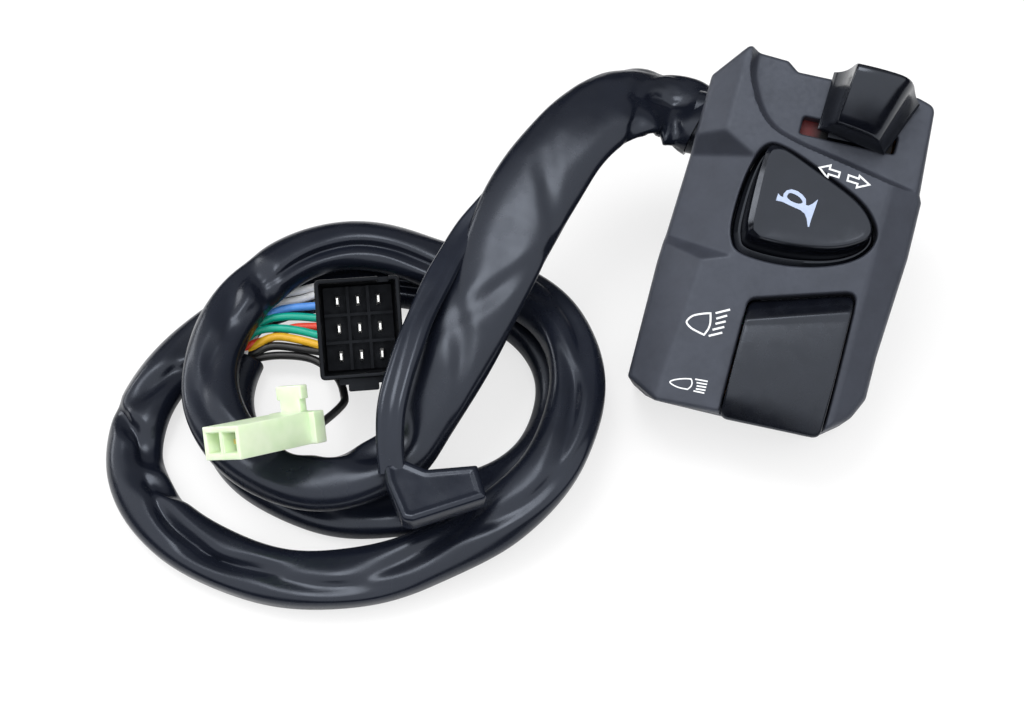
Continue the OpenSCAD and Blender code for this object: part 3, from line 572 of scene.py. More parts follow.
def moulded(name, outline, height, floor, edge_round, grid, near=(), near_round=0.6, place=at_face):
    """A closed moulding: a free-form top over an outline, with rounded rims, walls and a flat foot."""
    rim = resampled(outline, RIM_STEP)
    points = list(rim)
    extra = []
    for loop, r in [(rim, edge_round)] + [(resampled(o, RIM_STEP), near_round) for o in near]:
        n = len(loop)
        for i, p in enumerate(loop):
            d = Vector(loop[(i + 1) % n]) - Vector(loop[i - 1])
            side = Vector((-d.y, d.x)).normalized()
            for s in RIM_SHARES:
                extra += [tuple(Vector(p) + side * s * r), tuple(Vector(p) - side * s * r)]
    coarse = np.array(lattice(rim, grid))
    fine = np.array(lattice(rim, FINER * grid))
    reach = 0.5 * grid
    bend = np.zeros(len(fine))
    for du, dv in ((reach, 0), (0, reach)):
        bend += np.abs(height(fine[:, 0] + du, fine[:, 1] + dv) + height(fine[:, 0] - du, fine[:, 1] - dv)
                       - 2 * height(fine[:, 0], fine[:, 1]))
    bent = bend > BEND_LIMIT * grid
    keep = edge_distance(extra, rim) > 0.03 * edge_round
    points += [p for p, k in zip(extra, keep) if k]
    for candidates, spare in ((coarse, 0.3 * grid), (fine[bent], 0.15 * grid)):
        far = edge_distance(candidates, rim) > edge_round + spare
        for o in near:
            far &= np.abs(edge_distance(candidates, o)) > near_round + spare
        points += [tuple(p) for p, k in zip(candidates, far) if k]
    n = len(rim)
    flat, _, tris, _, _, _ = geometry.delaunay_2d_cdt(
        [Vector(p) for p in points], [(i, (i + 1) % n) for i in range(n)], [], 0, 1e-5)
    flat = np.array([tuple(p) for p in flat])
    middles = np.array([flat[list(t)].mean(axis=0) for t in tris])
    tris = [list(t) for t, d in zip(tris, edge_distance(middles, rim)) if d > 0]
    top = height(flat[:, 0], flat[:, 1]) - fillet(np.maximum(edge_distance(flat, rim), 0), edge_round)
    for o in near:
        top = top - fillet(np.maximum(-edge_distance(flat, o), 0), near_round)
    low = floor(flat[:, 0], flat[:, 1]) if callable(floor) else np.full(len(flat), floor)
    m = len(flat)
    verts = [place(*p, w) for p, w in zip(flat, top)] + [place(*p, w) for p, w in zip(flat, low)]
    sides = {}
    for t in tris:
        for a, b in ((t[0], t[1]), (t[1], t[2]), (t[2], t[0])):
            if (b, a) in sides:
                del sides[(b, a)]
            else:
                sides[(a, b)] = True
    faces = tris + [[i + m for i in reversed(t)] for t in tris]
    faces += [[a, a + m, b + m, b] for a, b in sides]
    return crisp(outward(from_points(name, verts, faces)))


def lofted(name, loops):
    """A closed skin over loops of equal length."""
    n, last = len(loops[0]), len(loops) - 1
    points = [p for loop in loops for p in loop]
    faces = []
    for i in range(last):
        for j in range(n):
            k = (j + 1) % n
            faces.append([i * n + j, i * n + k, (i + 1) * n + k, (i + 1) * n + j])
    faces += [list(range(n - 1, -1, -1)), list(range(last * n, (last + 1) * n))]
    return outward(from_points(name, points, faces))


def softened(name, node, width, keep_triangles=False):
    """A copy of a CAD node with its edges rounded."""
    bm = bmesh.new()
    bm.from_mesh(frame["nodes"][node].data)
    bmesh.ops.remove_doubles(bm, verts=bm.verts, dist=1e-6)
    if not keep_triangles:
        bmesh.ops.dissolve_limit(bm, angle_limit=math.radians(1.5), verts=bm.verts, edges=bm.edges)
    mesh = bpy.data.meshes.new(name)
    bm.to_mesh(mesh)
    bm.free()
    obj = as_object(name, mesh)
    m = obj.modifiers.new("round", "BEVEL")
    m.width = width * MM
    m.segments = 3
    m.limit_method = "ANGLE"
    m.angle_limit = math.radians(30)
    m.use_clamp_overlap = True
    settle(obj)
    return crisp(obj, 40)


# Geometry Nodes
def node_tree(name, inputs, kinds, links):
    """A tree from the kinds of its inputs, the kinds of its nodes and its links; made once."""
    if name in bpy.data.node_groups:
        return bpy.data.node_groups[name]
    tree = bpy.data.node_groups.new(name, "GeometryNodeTree")
    for label, kind in {"Geometry": "Geometry", **inputs}.items():
        tree.interface.new_socket(name=label, in_out="INPUT", socket_type="NodeSocket" + kind)
    tree.interface.new_socket(name="Geometry", in_out="OUTPUT", socket_type="NodeSocketGeometry")
    nodes = {"start": tree.nodes.new("NodeGroupInput"), "end": tree.nodes.new("NodeGroupOutput")}
    for label, kind in kinds.items():
        nodes[label] = tree.nodes.new("GeometryNode" + kind)
    for a, output, b, socket in links:
        tree.links.new(nodes[a].outputs[output], nodes[b].inputs[socket])
    return tree


def wire_tree():
    """Sweeps a round wire along a curve."""
    tree = node_tree(
        "Wire sweep", {"Radius": "Float", "Finish": "Material"},
        {"circle": "CurvePrimitiveCircle", "sweep": "CurveToMesh", "shade": "SetShadeSmooth",
         "real": "RealizeInstances", "paint": "SetMaterial"},
        [("start", "Geometry", "sweep", "Curve"), ("start", "Radius", "circle", "Radius"),
         ("circle", "Curve", "sweep", "Profile Curve"), ("sweep", "Mesh", "shade", "Geometry"),
         ("shade", "Geometry", "real", "Geometry"), ("real", "Geometry", "paint", "Geometry"),
         ("start", "Finish", "paint", "Material"), ("paint", "Geometry", "end", "Geometry")])
    for node in tree.nodes:
        if node.bl_idname == "GeometryNodeCurvePrimitiveCircle":
            node.inputs["Resolution"].default_value = 16
        elif node.bl_idname == "GeometryNodeCurveToMesh":
            node.inputs["Fill Caps"].default_value = True
    return tree


def repeat_tree():
    """Puts one shape on every point, all turned the same way."""
    return node_tree("Repeat on points", {"Shape": "Object", "Turn": "Vector", "Finish": "Material"},
                     {"shape": "ObjectInfo", "spots": "InstanceOnPoints", "real": "RealizeInstances",
                      "paint": "SetMaterial"},
                     [("start", "Geometry", "spots", "Points"), ("start", "Shape", "shape", "Object"),
                      ("shape", "Geometry", "spots", "Instance"), ("start", "Turn", "spots", "Rotation"),
                      ("spots", "Instances", "real", "Geometry"), ("real", "Geometry", "paint", "Geometry"),
                      ("start", "Finish", "paint", "Material"), ("paint", "Geometry", "end", "Geometry")])


def use_tree(obj, tree, **values):
    m = obj.modifiers.new(tree.name, "NODES")
    m.node_group = tree
    for item in tree.interface.items_tree:
        if item.item_type == "SOCKET" and item.in_out == "INPUT" and item.name in values:
            m[item.identifier] = values[item.name]
    return settle(obj)


def wire_piece(name, points, diameter, finish):
    route = bpy.data.curves.new(name, "CURVE")
    route.dimensions = "3D"
    line = route.splines.new("POLY")
    line.points.add(len(points) - 1)
    for spot, p in zip(line.points, points):
        spot.co = (*p, 1)
    return use_tree(as_object(name, route), wire_tree(), Radius=diameter / 2, Finish=finish)


def repeated(name, shape, spots, turn, finish):
    mesh = bpy.data.meshes.new(name)
    mesh.from_pydata([tuple(p) for p in spots], [], [])
    obj = use_tree(as_object(name, mesh), repeat_tree(), Shape=shape, Turn=turn, Finish=finish)
    bpy.data.objects.remove(shape)
    return obj


# Finishes
def fill(node, values):
    """Sets the inputs of a node by their names."""
    for name, value in values.items():
        node.inputs[name].default_value = value
    return node


def map_range(tree, factor, start, end, low, high):
    """Stretches a factor from one range to another."""
    span = fill(tree.nodes.new("ShaderNodeMapRange"),
                {"From Min": start, "From Max": end, "To Min": low, "To Max": high})
    tree.links.new(factor, span.inputs["Value"])
    return span


class Finish:
    """A procedural material on Object coordinates, built up from noise, bump and wear."""

    def __init__(self, name, colour, roughness, metallic=0.0, specular=0.5, cool=False):
        self.material = bpy.data.materials.new(name)
        self.material.use_nodes = True
        self.tree = self.material.node_tree
        self.shader = fill(self.tree.nodes["Principled BSDF"],
                           {"Base Color": (*colour, 1), "Roughness": roughness, "Metallic": metallic,
                            "Specular IOR Level": specular})
        self.colour = tuple(colour)
        if cool:
            fill(self.shader, {"Specular Tint": (0.80, 0.87, 1.0, 1)})
        self.place = self.tree.nodes.new("ShaderNodeTexCoord").outputs["Object"]
        self.normal = None

    def noise(self, scale, detail, stretch=None):
        n = fill(self.tree.nodes.new("ShaderNodeTexNoise"), {"Scale": scale, "Detail": detail})
        place = self.place
        if stretch:
            m = fill(self.tree.nodes.new("ShaderNodeMapping"), {"Scale": stretch})
            self.tree.links.new(place, m.inputs["Vector"])
            place = m.outputs["Vector"]
        self.tree.links.new(place, n.inputs["Vector"])
        return n.outputs["Fac"]

    def fade(self, axis, start, end):
        """Runs from 0 to 1 along one axis of the piece."""
        split = self.tree.nodes.new("ShaderNodeSeparateXYZ")
        self.tree.links.new(self.place, split.inputs["Vector"])
        return map_range(self.tree, split.outputs[axis], start, end, 0, 1).outputs["Result"]

    def tint(self, factor, low, high):
        """Colour variation between two shades."""
        ramp = self.tree.nodes.new("ShaderNodeValToRGB")
        for element, position, colour in zip(ramp.color_ramp.elements, FACTOR_SPAN, (low, high)):
            element.position = position
            element.color = (*colour, 1)
        self.tree.links.new(factor, ramp.inputs["Fac"])
        self.tree.links.new(ramp.outputs["Color"], self.shader.inputs["Base Color"])

    def shades(self, factor, spread):
        low = [c * (1 - spread) for c in self.colour]
        high = [min(1, c * (1 + spread)) for c in self.colour]
        self.tint(factor, low, high)

    def rough(self, factor, low, high):
        span = map_range(self.tree, factor, *FACTOR_SPAN, low, high)
        self.tree.links.new(span.outputs["Result"], self.shader.inputs["Roughness"])

    def bump(self, factor, strength, distance):
        b = fill(self.tree.nodes.new("ShaderNodeBump"), {"Strength": strength, "Distance": distance * MM})
        self.tree.links.new(factor, b.inputs["Height"])
        if self.normal:
            self.tree.links.new(self.normal, b.inputs["Normal"])
        self.normal = b.outputs["Normal"]
        self.tree.links.new(self.normal, self.shader.inputs["Normal"])


# The part of a noise's range that carries a change of shade or roughness
FACTOR_SPAN = (0.3, 0.7)

# Each finish: its colour or the setting that holds it, roughness, metallic, specular, cool reflections,
# shade noise as scale, detail and spread, roughness noise as scale, detail, low and high,
# and bumps as scale, detail, strength and depth in millimetres
FINISH_TABLE = {
    "housing charcoal": ("housing", 0.44, 0, 0.5, True, (180, 2, 0.12), (900, 2, 0.40, 0.54),
                         [(5200, 2, 0.32, 0.05)]),
    "button black": ("button", 0.2, 0, 0.45, True, (260, 2, 0.2), (420, 4, 0.15, 0.24),
                     [(2600, 2, 0.05, 0.03)]),
    "rocker black": ("button", 0.26, 0, 0.45, True, (260, 2, 0.2), (300, 4, 0.2, 0.32),
                     [(3400, 2, 0.08, 0.03)]),
    "sleeve vinyl": ("vinyl", 0.26, 0, 0.36, True, (70, 3, 0.16), (150, 4, 0.2, 0.31),
                     [(140, 3, 0.06, 0.4), (3000, 2, 0.05, 0.02)]),
    "boot vinyl": ("vinyl", 0.2, 0, 0.36, True, (90, 3, 0.14), (200, 4, 0.16, 0.28), [(160, 3, 0.08, 0.4)]),
    "symbol ink": ("ink", 0.5, 0, 0.3, False, (1500, 3, 0.06), None, []),
    "horn ink": ((0.42, 0.50, 0.68), 0.4, 0, 0.3, False, (1500, 3, 0.06), None, []),
    "plug nylon": ((0.0025, 0.0027, 0.0035), 0.5, 0, 0.2, True, (260, 3, 0.2), (500, 3, 0.44, 0.56),
                   [(2600, 2, 0.10, 0.04)]),
    "pale nylon": ((0.80, 0.86, 0.77), 0.34, 0, 0.4, False, None, (400, 3, 0.28, 0.4),
                   [(1500, 2, 0.05, 0.03)]),
    "tin plate": ((0.90, 0.90, 0.88), 0.34, 0.8, 0.5, False, (800, 3, 0.08), (1500, 3, 0.28, 0.42), []),
    "zinc plate": ((0.62, 0.61, 0.57), 0.34, 1, 0.5, False, (600, 3, 0.12), (1300, 3, 0.26, 0.44),
                   [(2500, 2, 0.1, 0.02)]),
    "spring steel": ((0.5, 0.5, 0.52), 0.3, 1, 0.5, False, (900, 3, 0.12), (1600, 3, 0.22, 0.4), []),
    "dark steel": ((0.03, 0.03, 0.032), 0.5, 1, 0.5, False, (900, 3, 0.2), (1600, 3, 0.42, 0.6), []),
    "contact brass": ((0.76, 0.55, 0.24), 0.3, 1, 0.5, False, (700, 3, 0.14), (1500, 3, 0.22, 0.4), []),
    "contact copper": ((0.72, 0.39, 0.22), 0.34, 1, 0.5, False, (700, 3, 0.14), (1500, 3, 0.26, 0.44), []),
    "phenolic board": ((0.26, 0.12, 0.05), 0.55, 0, 0.35, False, (300, 4, 0.2, (1, 5, 1)),
                       (900, 3, 0.48, 0.62), [(1600, 3, 0.1, 0.04)]),
    "carrier red": ((0.10, 0.004, 0.006), 0.45, 0, 0.25, False, None, (900, 3, 0.34, 0.5),
                    [(2400, 2, 0.08, 0.03)]),
    "plunger nylon": ((0.76, 0.72, 0.62), 0.36, 0, 0.4, False, (500, 3, 0.08), (900, 3, 0.3, 0.44), []),
}
WIRE_COLOURS = {"white": (0.80, 0.81, 0.83), "blue": (0.105, 0.33, 0.87), "green": (0.0, 0.42, 0.30),
                "red": (0.78, 0.06, 0.03), "yellow": (0.82, 0.46, 0.02), "black": (0.012, 0.012, 0.013)}
for shade, wire_colour in WIRE_COLOURS.items():
    FINISH_TABLE["wire " + shade] = (wire_colour, 0.36, 0, 0.4, False, (500, 3, 0.08), (900, 3, 0.3, 0.44),
                                     [(1500, 2, 0.06, 0.03)])
BOOT_LIGHTER = 1.2
PALE_SHADES = ((0.63, 0.79, 0.52), (0.76, 0.88, 0.65))
# The carrier's red fades to near black along its X axis: painted shade of the slot's far end
CARRIER_SHADE_FADE = ("X", -0.003, 0.004)
CARRIER_PAINTED_SHADE = (0.003, 0.003, 0.004)
FINISHES = {}


def finish_named(name):
    """Makes a finish when it is first asked for."""
    if name in FINISHES:
        return FINISHES[name]
    colour, roughness, metallic, specular, cool, shading, wear, bumps = FINISH_TABLE[name]
    if isinstance(colour, str):
        colour = getattr(bpy.context.scene.switch_finish, colour)
    if name == "boot vinyl":
        colour = [c * BOOT_LIGHTER for c in colour]
    f = Finish(name, colour, roughness, metallic, specular, cool)
    if shading:
        scale, detail, spread, *stretch = shading
        f.shades(f.noise(scale, detail, *stretch), spread)
    elif name == "pale nylon":
        fill(f.shader,
             {"Subsurface Weight": 0.6, "Subsurface Radius": (1.0, 1.0, 0.8), "Subsurface Scale": 0.002})
        f.tint(f.noise(160, 2), *PALE_SHADES)
    elif name == "carrier red":
        # Painted shade: the carrier darkens from its red to near black along X
        f.tint(f.fade(*CARRIER_SHADE_FADE), f.colour, CARRIER_PAINTED_SHADE)
    if wear:
        f.rough(f.noise(*wear[:2]), *wear[2:])
    for scale, detail, strength, depth in bumps:
        f.bump(f.noise(scale, detail), strength, depth)
    FINISHES[name] = f.material
    return f.material


def dress(obj, finish, body, slot, *nodes):
    """Gives a piece its finish, its body, its slot and the CAD nodes that it stands for."""
    obj.data.materials.clear()
    obj.data.materials.append(finish_named(finish))
    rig.ride(obj, body)
    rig.slot(obj, slot)
    if nodes:
        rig.replaces(obj, *nodes)
    return obj


def paint_nodes(finishes):
    """Gives CAD nodes that stay as they are their finishes."""
    for name, finish in finishes.items():
        mesh = frame["nodes"][name].data
        mesh.materials.clear()
        mesh.materials.append(finish_named(finish))


# Housing
OUTLINE = [(LEFT + 8, -BOTTOM_REACH), (RIGHT - 11, 2.2 - BOTTOM_REACH), (RIGHT - 9, 2.9 - BOTTOM_REACH),
           (RIGHT - 4, -36.5), (RIGHT - 1.5, -31), (RIGHT - 1.5, -21), (RIGHT, 3), (RIGHT - 0.1, 16.4),
           (RIGHT - 0.9, 18), (RIGHT - 2.4, TOP - 3.3), (RIGHT - 6.5, TOP - 2), (-6.8, TOP - 2),
           (-9.6, TOP + 0.1), (LEFT + 8.4, TOP + 0.7), (LEFT + 1.2, TOP - 6.9), (LEFT + 0.9, 18.3),
           (LEFT - 0.3, -11), (LEFT, 4.2 - BOTTOM_REACH)]
OUTLINE_ROUND = [0.9, 2.0, 3.0, 6.0, 4.0, 12.0, 12.0, 1.0, 1.0, 2.6, 2.6, 1.6, 1.6, 1.6, 1.6, 8.0, 8.0, 1.0]
RECESS = [(-17.2, 60), (-17.1, 41.2), (-16.5, 36.6), (-14.1, 31.3), (-11.8, 28.0), (-9.5, 25.9), (-7.0, 24.6),
          (-2.0, 23.1), (3.2, 22.0), (14.3, 19.8), (25.5, 17.5), (60, 10.6), (60, 60)]
LOW_ROOM = [(CAVITY_LEFT, -14), (CAVITY_LEFT, -40.9), (15.5, -40.9), (16.6, -40.2), (22.4, -35.4), (23, -33),
            (23, -14)]
HORN_HOLE = [(-9.6, 20.4), (-12.3, 13.8), (-13.1, 4), (-12.2, -2.4), (-8.9, -5.6), (1, -6), (10.6, -3.9),
             (17.2, -0.2), (19.7, 4.6), (17.9, 9), (13.4, 12.9), (4.8, 16.9), (-4.6, 20.6)]
HORN_TOP = [(-8.7, 19.4), (-9.5, 13), (-9.4, 4.4), (-8.9, 0.2), (-7.3, -1.7), (0.7, -1.9), (9.6, -0.6),
            (15.2, 1.7), (18.1, 4.7), (16.6, 8.5), (12.2, 12), (4.1, 15.8), (-4.7, 19.3)]
HORN_MID = Vector((2, 7))
HORN_CROWN = FACE + 3.5
HORN_SKIRT = (18.4, FACE - 4.4)
# Rings from the skirt to the top's edge, round the groove: share of the way and height
HORN_GROOVE = [(0.12, 19.1), (0.38, 18.8), (0.54, 18.8), (0.62, 19.5), (0.8, FACE - 0.4), (0.94, FACE + 1.6)]
# Rings over the rim, as distance past the bevel and drop, then of the dish, as share of the top and drop
HORN_RIM = [(-0.12, 0.09), (0.12, 0.0), (0.5, 0.0), (1.0, 0.05), (1.6, 0.14)]
HORN_DISH = [(0.62, 0.30), (0.4, 0.40), (0.12, 0.44)]
ROCKER_HOLE = [(ROCKER_U0 - 0.4, -BOTTOM_REACH - 3), (ROCKER_U1 + 0.4, -BOTTOM_REACH - 3),
               (ROCKER_U1 + 0.4, -8.0), (ROCKER_U0 - 0.4, -15.4)]
LEFT_CREASE = -19.5
RIGHT_CREASE = 20.0
BEVEL_SLOPE = 5 / 8
# The thumb relief's tip and the two low ends of its floor
RELIEF_TIP = (-11, 17.2, FACE)
RELIEF_UPPER = (-32, 15.4, FACE - 10.5)
RELIEF_LOWER = (-32, -3.2, FACE - 10.5)
# The section, in v and w, of the wedge that leans the bottom wall inward towards the back
DRAFT_WEDGE = [(-43.7, 26), (-41.3, -1), (-60, -1), (-60, 26)]
FAR = 60
HORN_WELL = 13.8
SLOT_WELL = 16
MID_FLOOR = 14.6
BELOW = -1


def housing_height(u, v):
    """The front face: flat middle, side bevels, thumb relief and the sunk turn plate."""
    k = bpy.context.scene.switch_housing.crease_round / MM
    main = np.full(len(u), FACE)
    left_crease = np.where(v < 2, np.minimum(LEFT_CREASE + 0.065 * (v + 40), -17.5), LEFT_CREASE)
    bevels = np.minimum(FACE + (u - left_crease) * BEVEL_SLOPE, FACE - (u - RIGHT_CREASE) * BEVEL_SLOPE)
    floor_plane = plane_height(RELIEF_TIP, RELIEF_UPPER, RELIEF_LOWER)(u, v)
    upper_flank = plane_height(RELIEF_TIP, RELIEF_UPPER, (-32, 44, FACE + 12.4))(u, v)
    lower_flank = plane_height((-10.6, -6.6, FACE), RELIEF_LOWER, (-32, -24, FACE + 8.6))(u, v)
    relief = soft_max(soft_max(floor_plane, upper_flank, k), lower_flank, k)
    flat = np.column_stack([u, v])
    step = PLATE + 0.8 * np.maximum(1.1 - edge_distance(flat, flowing_recess()), 0) ** 2
    h = soft_min(soft_min(main, bevels, k), relief, k)
    return soft_min(h, step, 0.7 * k)


def flowing_recess():
    """The recess line with its left sweep smoothed."""
    sweep = [Vector(p) for p in RECESS[1:11]]
    return [RECESS[0]] + [tuple(p) for p in smooth_route(sweep, 72)] + RECESS[11:]


def horn_rim():
    return flowing(HORN_HOLE, 10)


def slot_rim():
    return rounded(oblong(SLOT_U - SLOT_LEN / 2, SLOT_U + SLOT_LEN / 2, SLOT_V - SLOT_H / 2,
                          SLOT_V + SLOT_H / 2), 0.7)


def rocker_rim():
    return rounded(ROCKER_HOLE, [0.2, 0.2, 2.4, 2.4], 8)


class SWITCH_OT_housing(bpy.types.Operator):
    """Moulds the front housing, with its openings and cavities, and the rear half"""

    bl_idname = "switch.housing"
    bl_label = "Housing"

    def execute(self, context):
        sizes = context.scene.switch_housing
        rims = [horn_rim(), slot_rim(), rocker_rim()]
        front = moulded("front_housing_moulding", rounded(OUTLINE, OUTLINE_ROUND), housing_height, 0.0,
                        sizes.edge_round / MM, 0.75, rims, sizes.hole_round / MM)
        wedge = prism(DRAFT_WEDGE, LEFT - 5, RIGHT + 5, lambda v, w, u: at_face(u, v, w))
        cut(front, prism(horn_rim(), HORN_WELL, FAR), prism(slot_rim(), SLOT_WELL, FAR),
            prism(rocker_rim(), ROCKER_SILL, FAR), prism(LOW_ROOM, BELOW, LOW_CEILING),
            prism(oblong(CAVITY_LEFT, RIGHT - 3.4, 14, TOP - 4.6), BELOW, TURN_CEILING),
            prism(oblong(-10, RIGHT - 5.4, -14.5, 14.5), MID_FLOOR, MID_CEILING), outward(wedge),
            rod(-FAR, FAR, 0, 0, BAR_R), rod(LEFT - 5, CAVITY_LEFT + 0.1, EXIT_V, EXIT_W, 4.6, 64, 2.0))
        crisp(front, 38)
        dress(front, "housing charcoal", "body", "housing_plastic", "front_housing")
        rear = softened("rear_housing_moulding", "rear_housing", 0.7)
        dress(rear, "housing charcoal", "body", "housing_plastic", "rear_housing")
        paint_nodes({"lower_cover": "housing charcoal"})
        return {"FINISHED"}


# Controls
KNOB_FOOT = PLATE + 0.4
KNOB_LIP = 0.06
KNOB_FRONT = 27.2
KNOB_BACK = 41.1
KNOB_HEIGHT = 8.9
KNOB_RISE = 5.0
# The knob's right and left side: foot and crown in u, each with its gain towards the back,
# then the ridge's way inward and its softness
KNOB_SIDES = [(16.9, 5.0, 14.6, 4.0, Vector((-4.0, 0.2)), 0.3),
              (0.8, 0.4, 4.4, 1.4, Vector((0.7, 0.04)), 0.08)]
# Sections of the knob, each as its share of the way back and the height it is cut off at
KNOB_CUTS = [(0.0, 1.2), (0.012, 2.2), (0.044, 7.7), (0.052, 8.3), (KNOB_LIP, 8.6), (0.085, 20), (0.2, 20),
             (0.28, 20), (0.36, 20), (0.44, 20), (0.52, 20), (0.6, 20), (0.68, 20), (0.76, 20), (0.84, 20),
             (0.9, 13.35), (0.94, 13.2), (0.967, 12.85), (0.985, 12.35), (0.996, 11.7), (1.0, 11.0)]


def knob_row(share, top):
    """One section across the knob, from its right foot over the crown to its left foot."""
    back = max(0.0, (share - KNOB_LIP) / (1 - KNOB_LIP))
    full = KNOB_HEIGHT + KNOB_RISE * math.sin(1.35 * back)
    top = min(top, full)

    def place(q):
        front_line = KNOB_FRONT - 0.149 * (q.x - 0.8)
        back_line = KNOB_BACK - (0.164 - 0.12 * q.y / full) * (q.x - 1.2)
        return at_face(q.x, (1 - share) * front_line + share * back_line, KNOB_FOOT + q.y)

    halves = []
    for foot, foot_gain, crown, crown_gain, inner, soft in KNOB_SIDES:
        foot, crown = foot + foot_gain * share, crown + crown_gain * back
        a = Vector((foot, 0.9))
        b = Vector((crown + 0.22 * (foot - crown), 0.34 * full))
        c = Vector((crown, full))
        flank = lambda t: curve(a, b, c, t)
        low, high = 0.0, 1.0
        for _ in range(30):
            mid = (low + high) / 2
            low, high = (mid, high) if flank(mid).y < top else (low, mid)
        ridge = flank(low)
        turn = max(0.0, low - soft)
        line = [Vector((foot, 0.0))] + [flank(turn * k / 8) for k in range(8)]
        halves.append(line + [curve(flank(turn), ridge, ridge + inner, k / 6) for k in range(7)])
    right, left = halves
    a, b = right[-1], left[-1]
    crown = [a.lerp(b, k / 8) + Vector((0, 0.25 * (1 - (k / 4 - 1) ** 2))) for k in range(1, 8)]
    return [place(q) for q in right + crown + left[::-1]]


class SWITCH_OT_turn_knob(bpy.types.Operator):
    """Shapes the turn-signal knob with its flared sides, and finishes what slides with it"""

    bl_idname = "switch.turn_knob"
    bl_label = "Turn knob"

    def execute(self, context):
        knob = crisp(lofted("turn_knob_grip", [knob_row(*c) for c in KNOB_CUTS]), 42)
        stem = prism(oblong(SLOT_U - 4.5, SLOT_U + 4.5, SLOT_V - 1.7, SLOT_V + 1.7), 14, PLATE + 0.6)
        stem.name = "turn_knob_stem"
        crisp(stem)
        dress(knob, "button black", "turn_slider", "button_plastic", "turn_knob")
        dress(stem, "button black", "turn_slider", "button_plastic")
        paint_nodes({"turn_carrier": "carrier red", "turn_knob_screw": "zinc plate",
                     "turn_board_screws": "zinc plate", "turn_wiper": "contact copper",
                     "turn_detent_ball": "spring steel", "turn_detent_spring": "spring steel",
                     "turn_board": "phenolic board", "turn_contacts": "contact brass"})
        return {"FINISHED"}


class SWITCH_OT_horn_button(bpy.types.Operator):
    """Shapes the horn button with its raised rim and dished top, and finishes what moves with it"""

    bl_idname = "switch.horn_button"
    bl_label = "Horn button"

    def execute(self, context):
        hole = [Vector(p) for p in horn_rim()]
        top = [Vector(p) for p in flowing(HORN_TOP, 10)]
        skirt = [p + (HORN_MID - p).normalized() * 0.4 for p in hole]
        bevel = [0.45 + 0.95 * min(1.0, max(0.0, (-5.5 - p.x) / 2.5)) for p in top]
        level = lambda ring, w: [at_face(p.x, p.y, w) for p in ring]
        rings = [level(skirt, w) for w in HORN_SKIRT]
        for t, w in HORN_GROOVE:
            rings.append(level([a.lerp(b, t) for a, b in zip(skirt, top)], w))
        rings.append([at_face(p.x, p.y, HORN_CROWN - 0.84 * b) for p, b in zip(top, bevel)])
        for further, sink in HORN_RIM:
            inner = [p + (HORN_MID - p).normalized() * (b + further) for p, b in zip(top, bevel)]
            rings.append(level(inner, HORN_CROWN - sink))
        for share, sink in HORN_DISH:
            rings.append(level([HORN_MID + (p - HORN_MID) * share for p in top], HORN_CROWN - sink))
        button = crisp(lofted("horn_button_cap", rings), 18)
        dress(button, "button black", "horn", "button_plastic", "horn_button")
        paint_nodes({"horn_contact_strip": "contact copper", "horn_spring": "spring steel",
                     "horn_base": "phenolic board", "horn_contact": "contact brass"})
        return {"FINISHED"}


# The rocker's outline and corner radii; its underside, which is raised past the last v to clear the housing
ROCKER_OUTLINE = [(ROCKER_U0, -BOTTOM_REACH - 0.2), (ROCKER_U1, -BOTTOM_REACH + 0.8), (ROCKER_U1, -8.6),
                  (ROCKER_U0, -15.8)]
ROCKER_ROUND = [1.8, 2.2, 2.2, 2.0]
ROCKER_FLOOR = 18.5
ROCKER_END_FLOOR = 23.1
ROCKER_END = -39.6


def rocker_height(u, v):
    """The rocker's top: a shallow dish, a slanted chamfer above it and a rolled lower end."""
    across = u - ROCKER_U0
    slope = np.clip(-22 - v + 0.29 * across, 0, 15)
    start = -37.0 + 0.27 * across
    end = -44.0 + 0.05 * across
    roll = np.maximum((start - v) / (start - end), 0)
    top = FACE + 1.45 + 0.16 * slope - 0.0056 * slope ** 2 - 2.8 * roll ** 1.5
    chamfer = FACE + 1.4 - 0.78 * (v - (-20.6 + 0.33 * across))
    return soft_min(top, chamfer, 0.35)


class SWITCH_OT_beam_rocker(bpy.types.Operator):
    """Moulds the beam rocker with its chamfered upper edge, and finishes what swings with it"""

    bl_idname = "switch.beam_rocker"
    bl_label = "Beam rocker"

    def execute(self, context):
        outline = rounded(ROCKER_OUTLINE, ROCKER_ROUND, 8)
        floor = lambda u, v: np.where(v < ROCKER_END, ROCKER_END_FLOOR, ROCKER_FLOOR)
        rocker = moulded("beam_rocker_cap", outline, rocker_height, floor, 0.6, 0.7)
        dress(rocker, "rocker black", "beam", "button_plastic", "beam_rocker")
        paint_nodes({"beam_plunger": "plunger nylon", "beam_plunger_spring": "spring steel",
                     "beam_wiper": "contact copper", "rocker_pin": "dark steel",
                     "beam_board": "phenolic board", "beam_contacts": "contact brass"})
        return {"FINISHED"}


# Fasteners
def screw_shape(head_r, head_h, shank_r, shank_len):
    """A pan-head screw with a crossed recess, its head's underside at the origin and its shank along +Z."""
    profile = [(0.3 * head_r, -head_h), (0.72 * head_r, -head_h), (0.92 * head_r, -0.8 * head_h),
               (head_r, -0.5 * head_h), (head_r, 0), (shank_r, 0), (shank_r, shank_len - 0.6),
               (shank_r * 0.6, shank_len)]
    loops = [[Vector((r * c, r * n, z)) * MM for _, c, n in turns(48)] for r, z in profile]
    obj = lofted("screw_shape", loops)
    plain = lambda u, v, w: Vector((u, v, w)) * MM
    arm, wide, deep = 0.58 * head_r, 0.13 * head_r, 0.55 * head_h
    for a, b in ((arm, wide), (wide, arm)):
        cut(obj, prism(oblong(-a, a, -b, b), -head_h - 1, -head_h + deep, plain))
    return crisp(obj, 40)


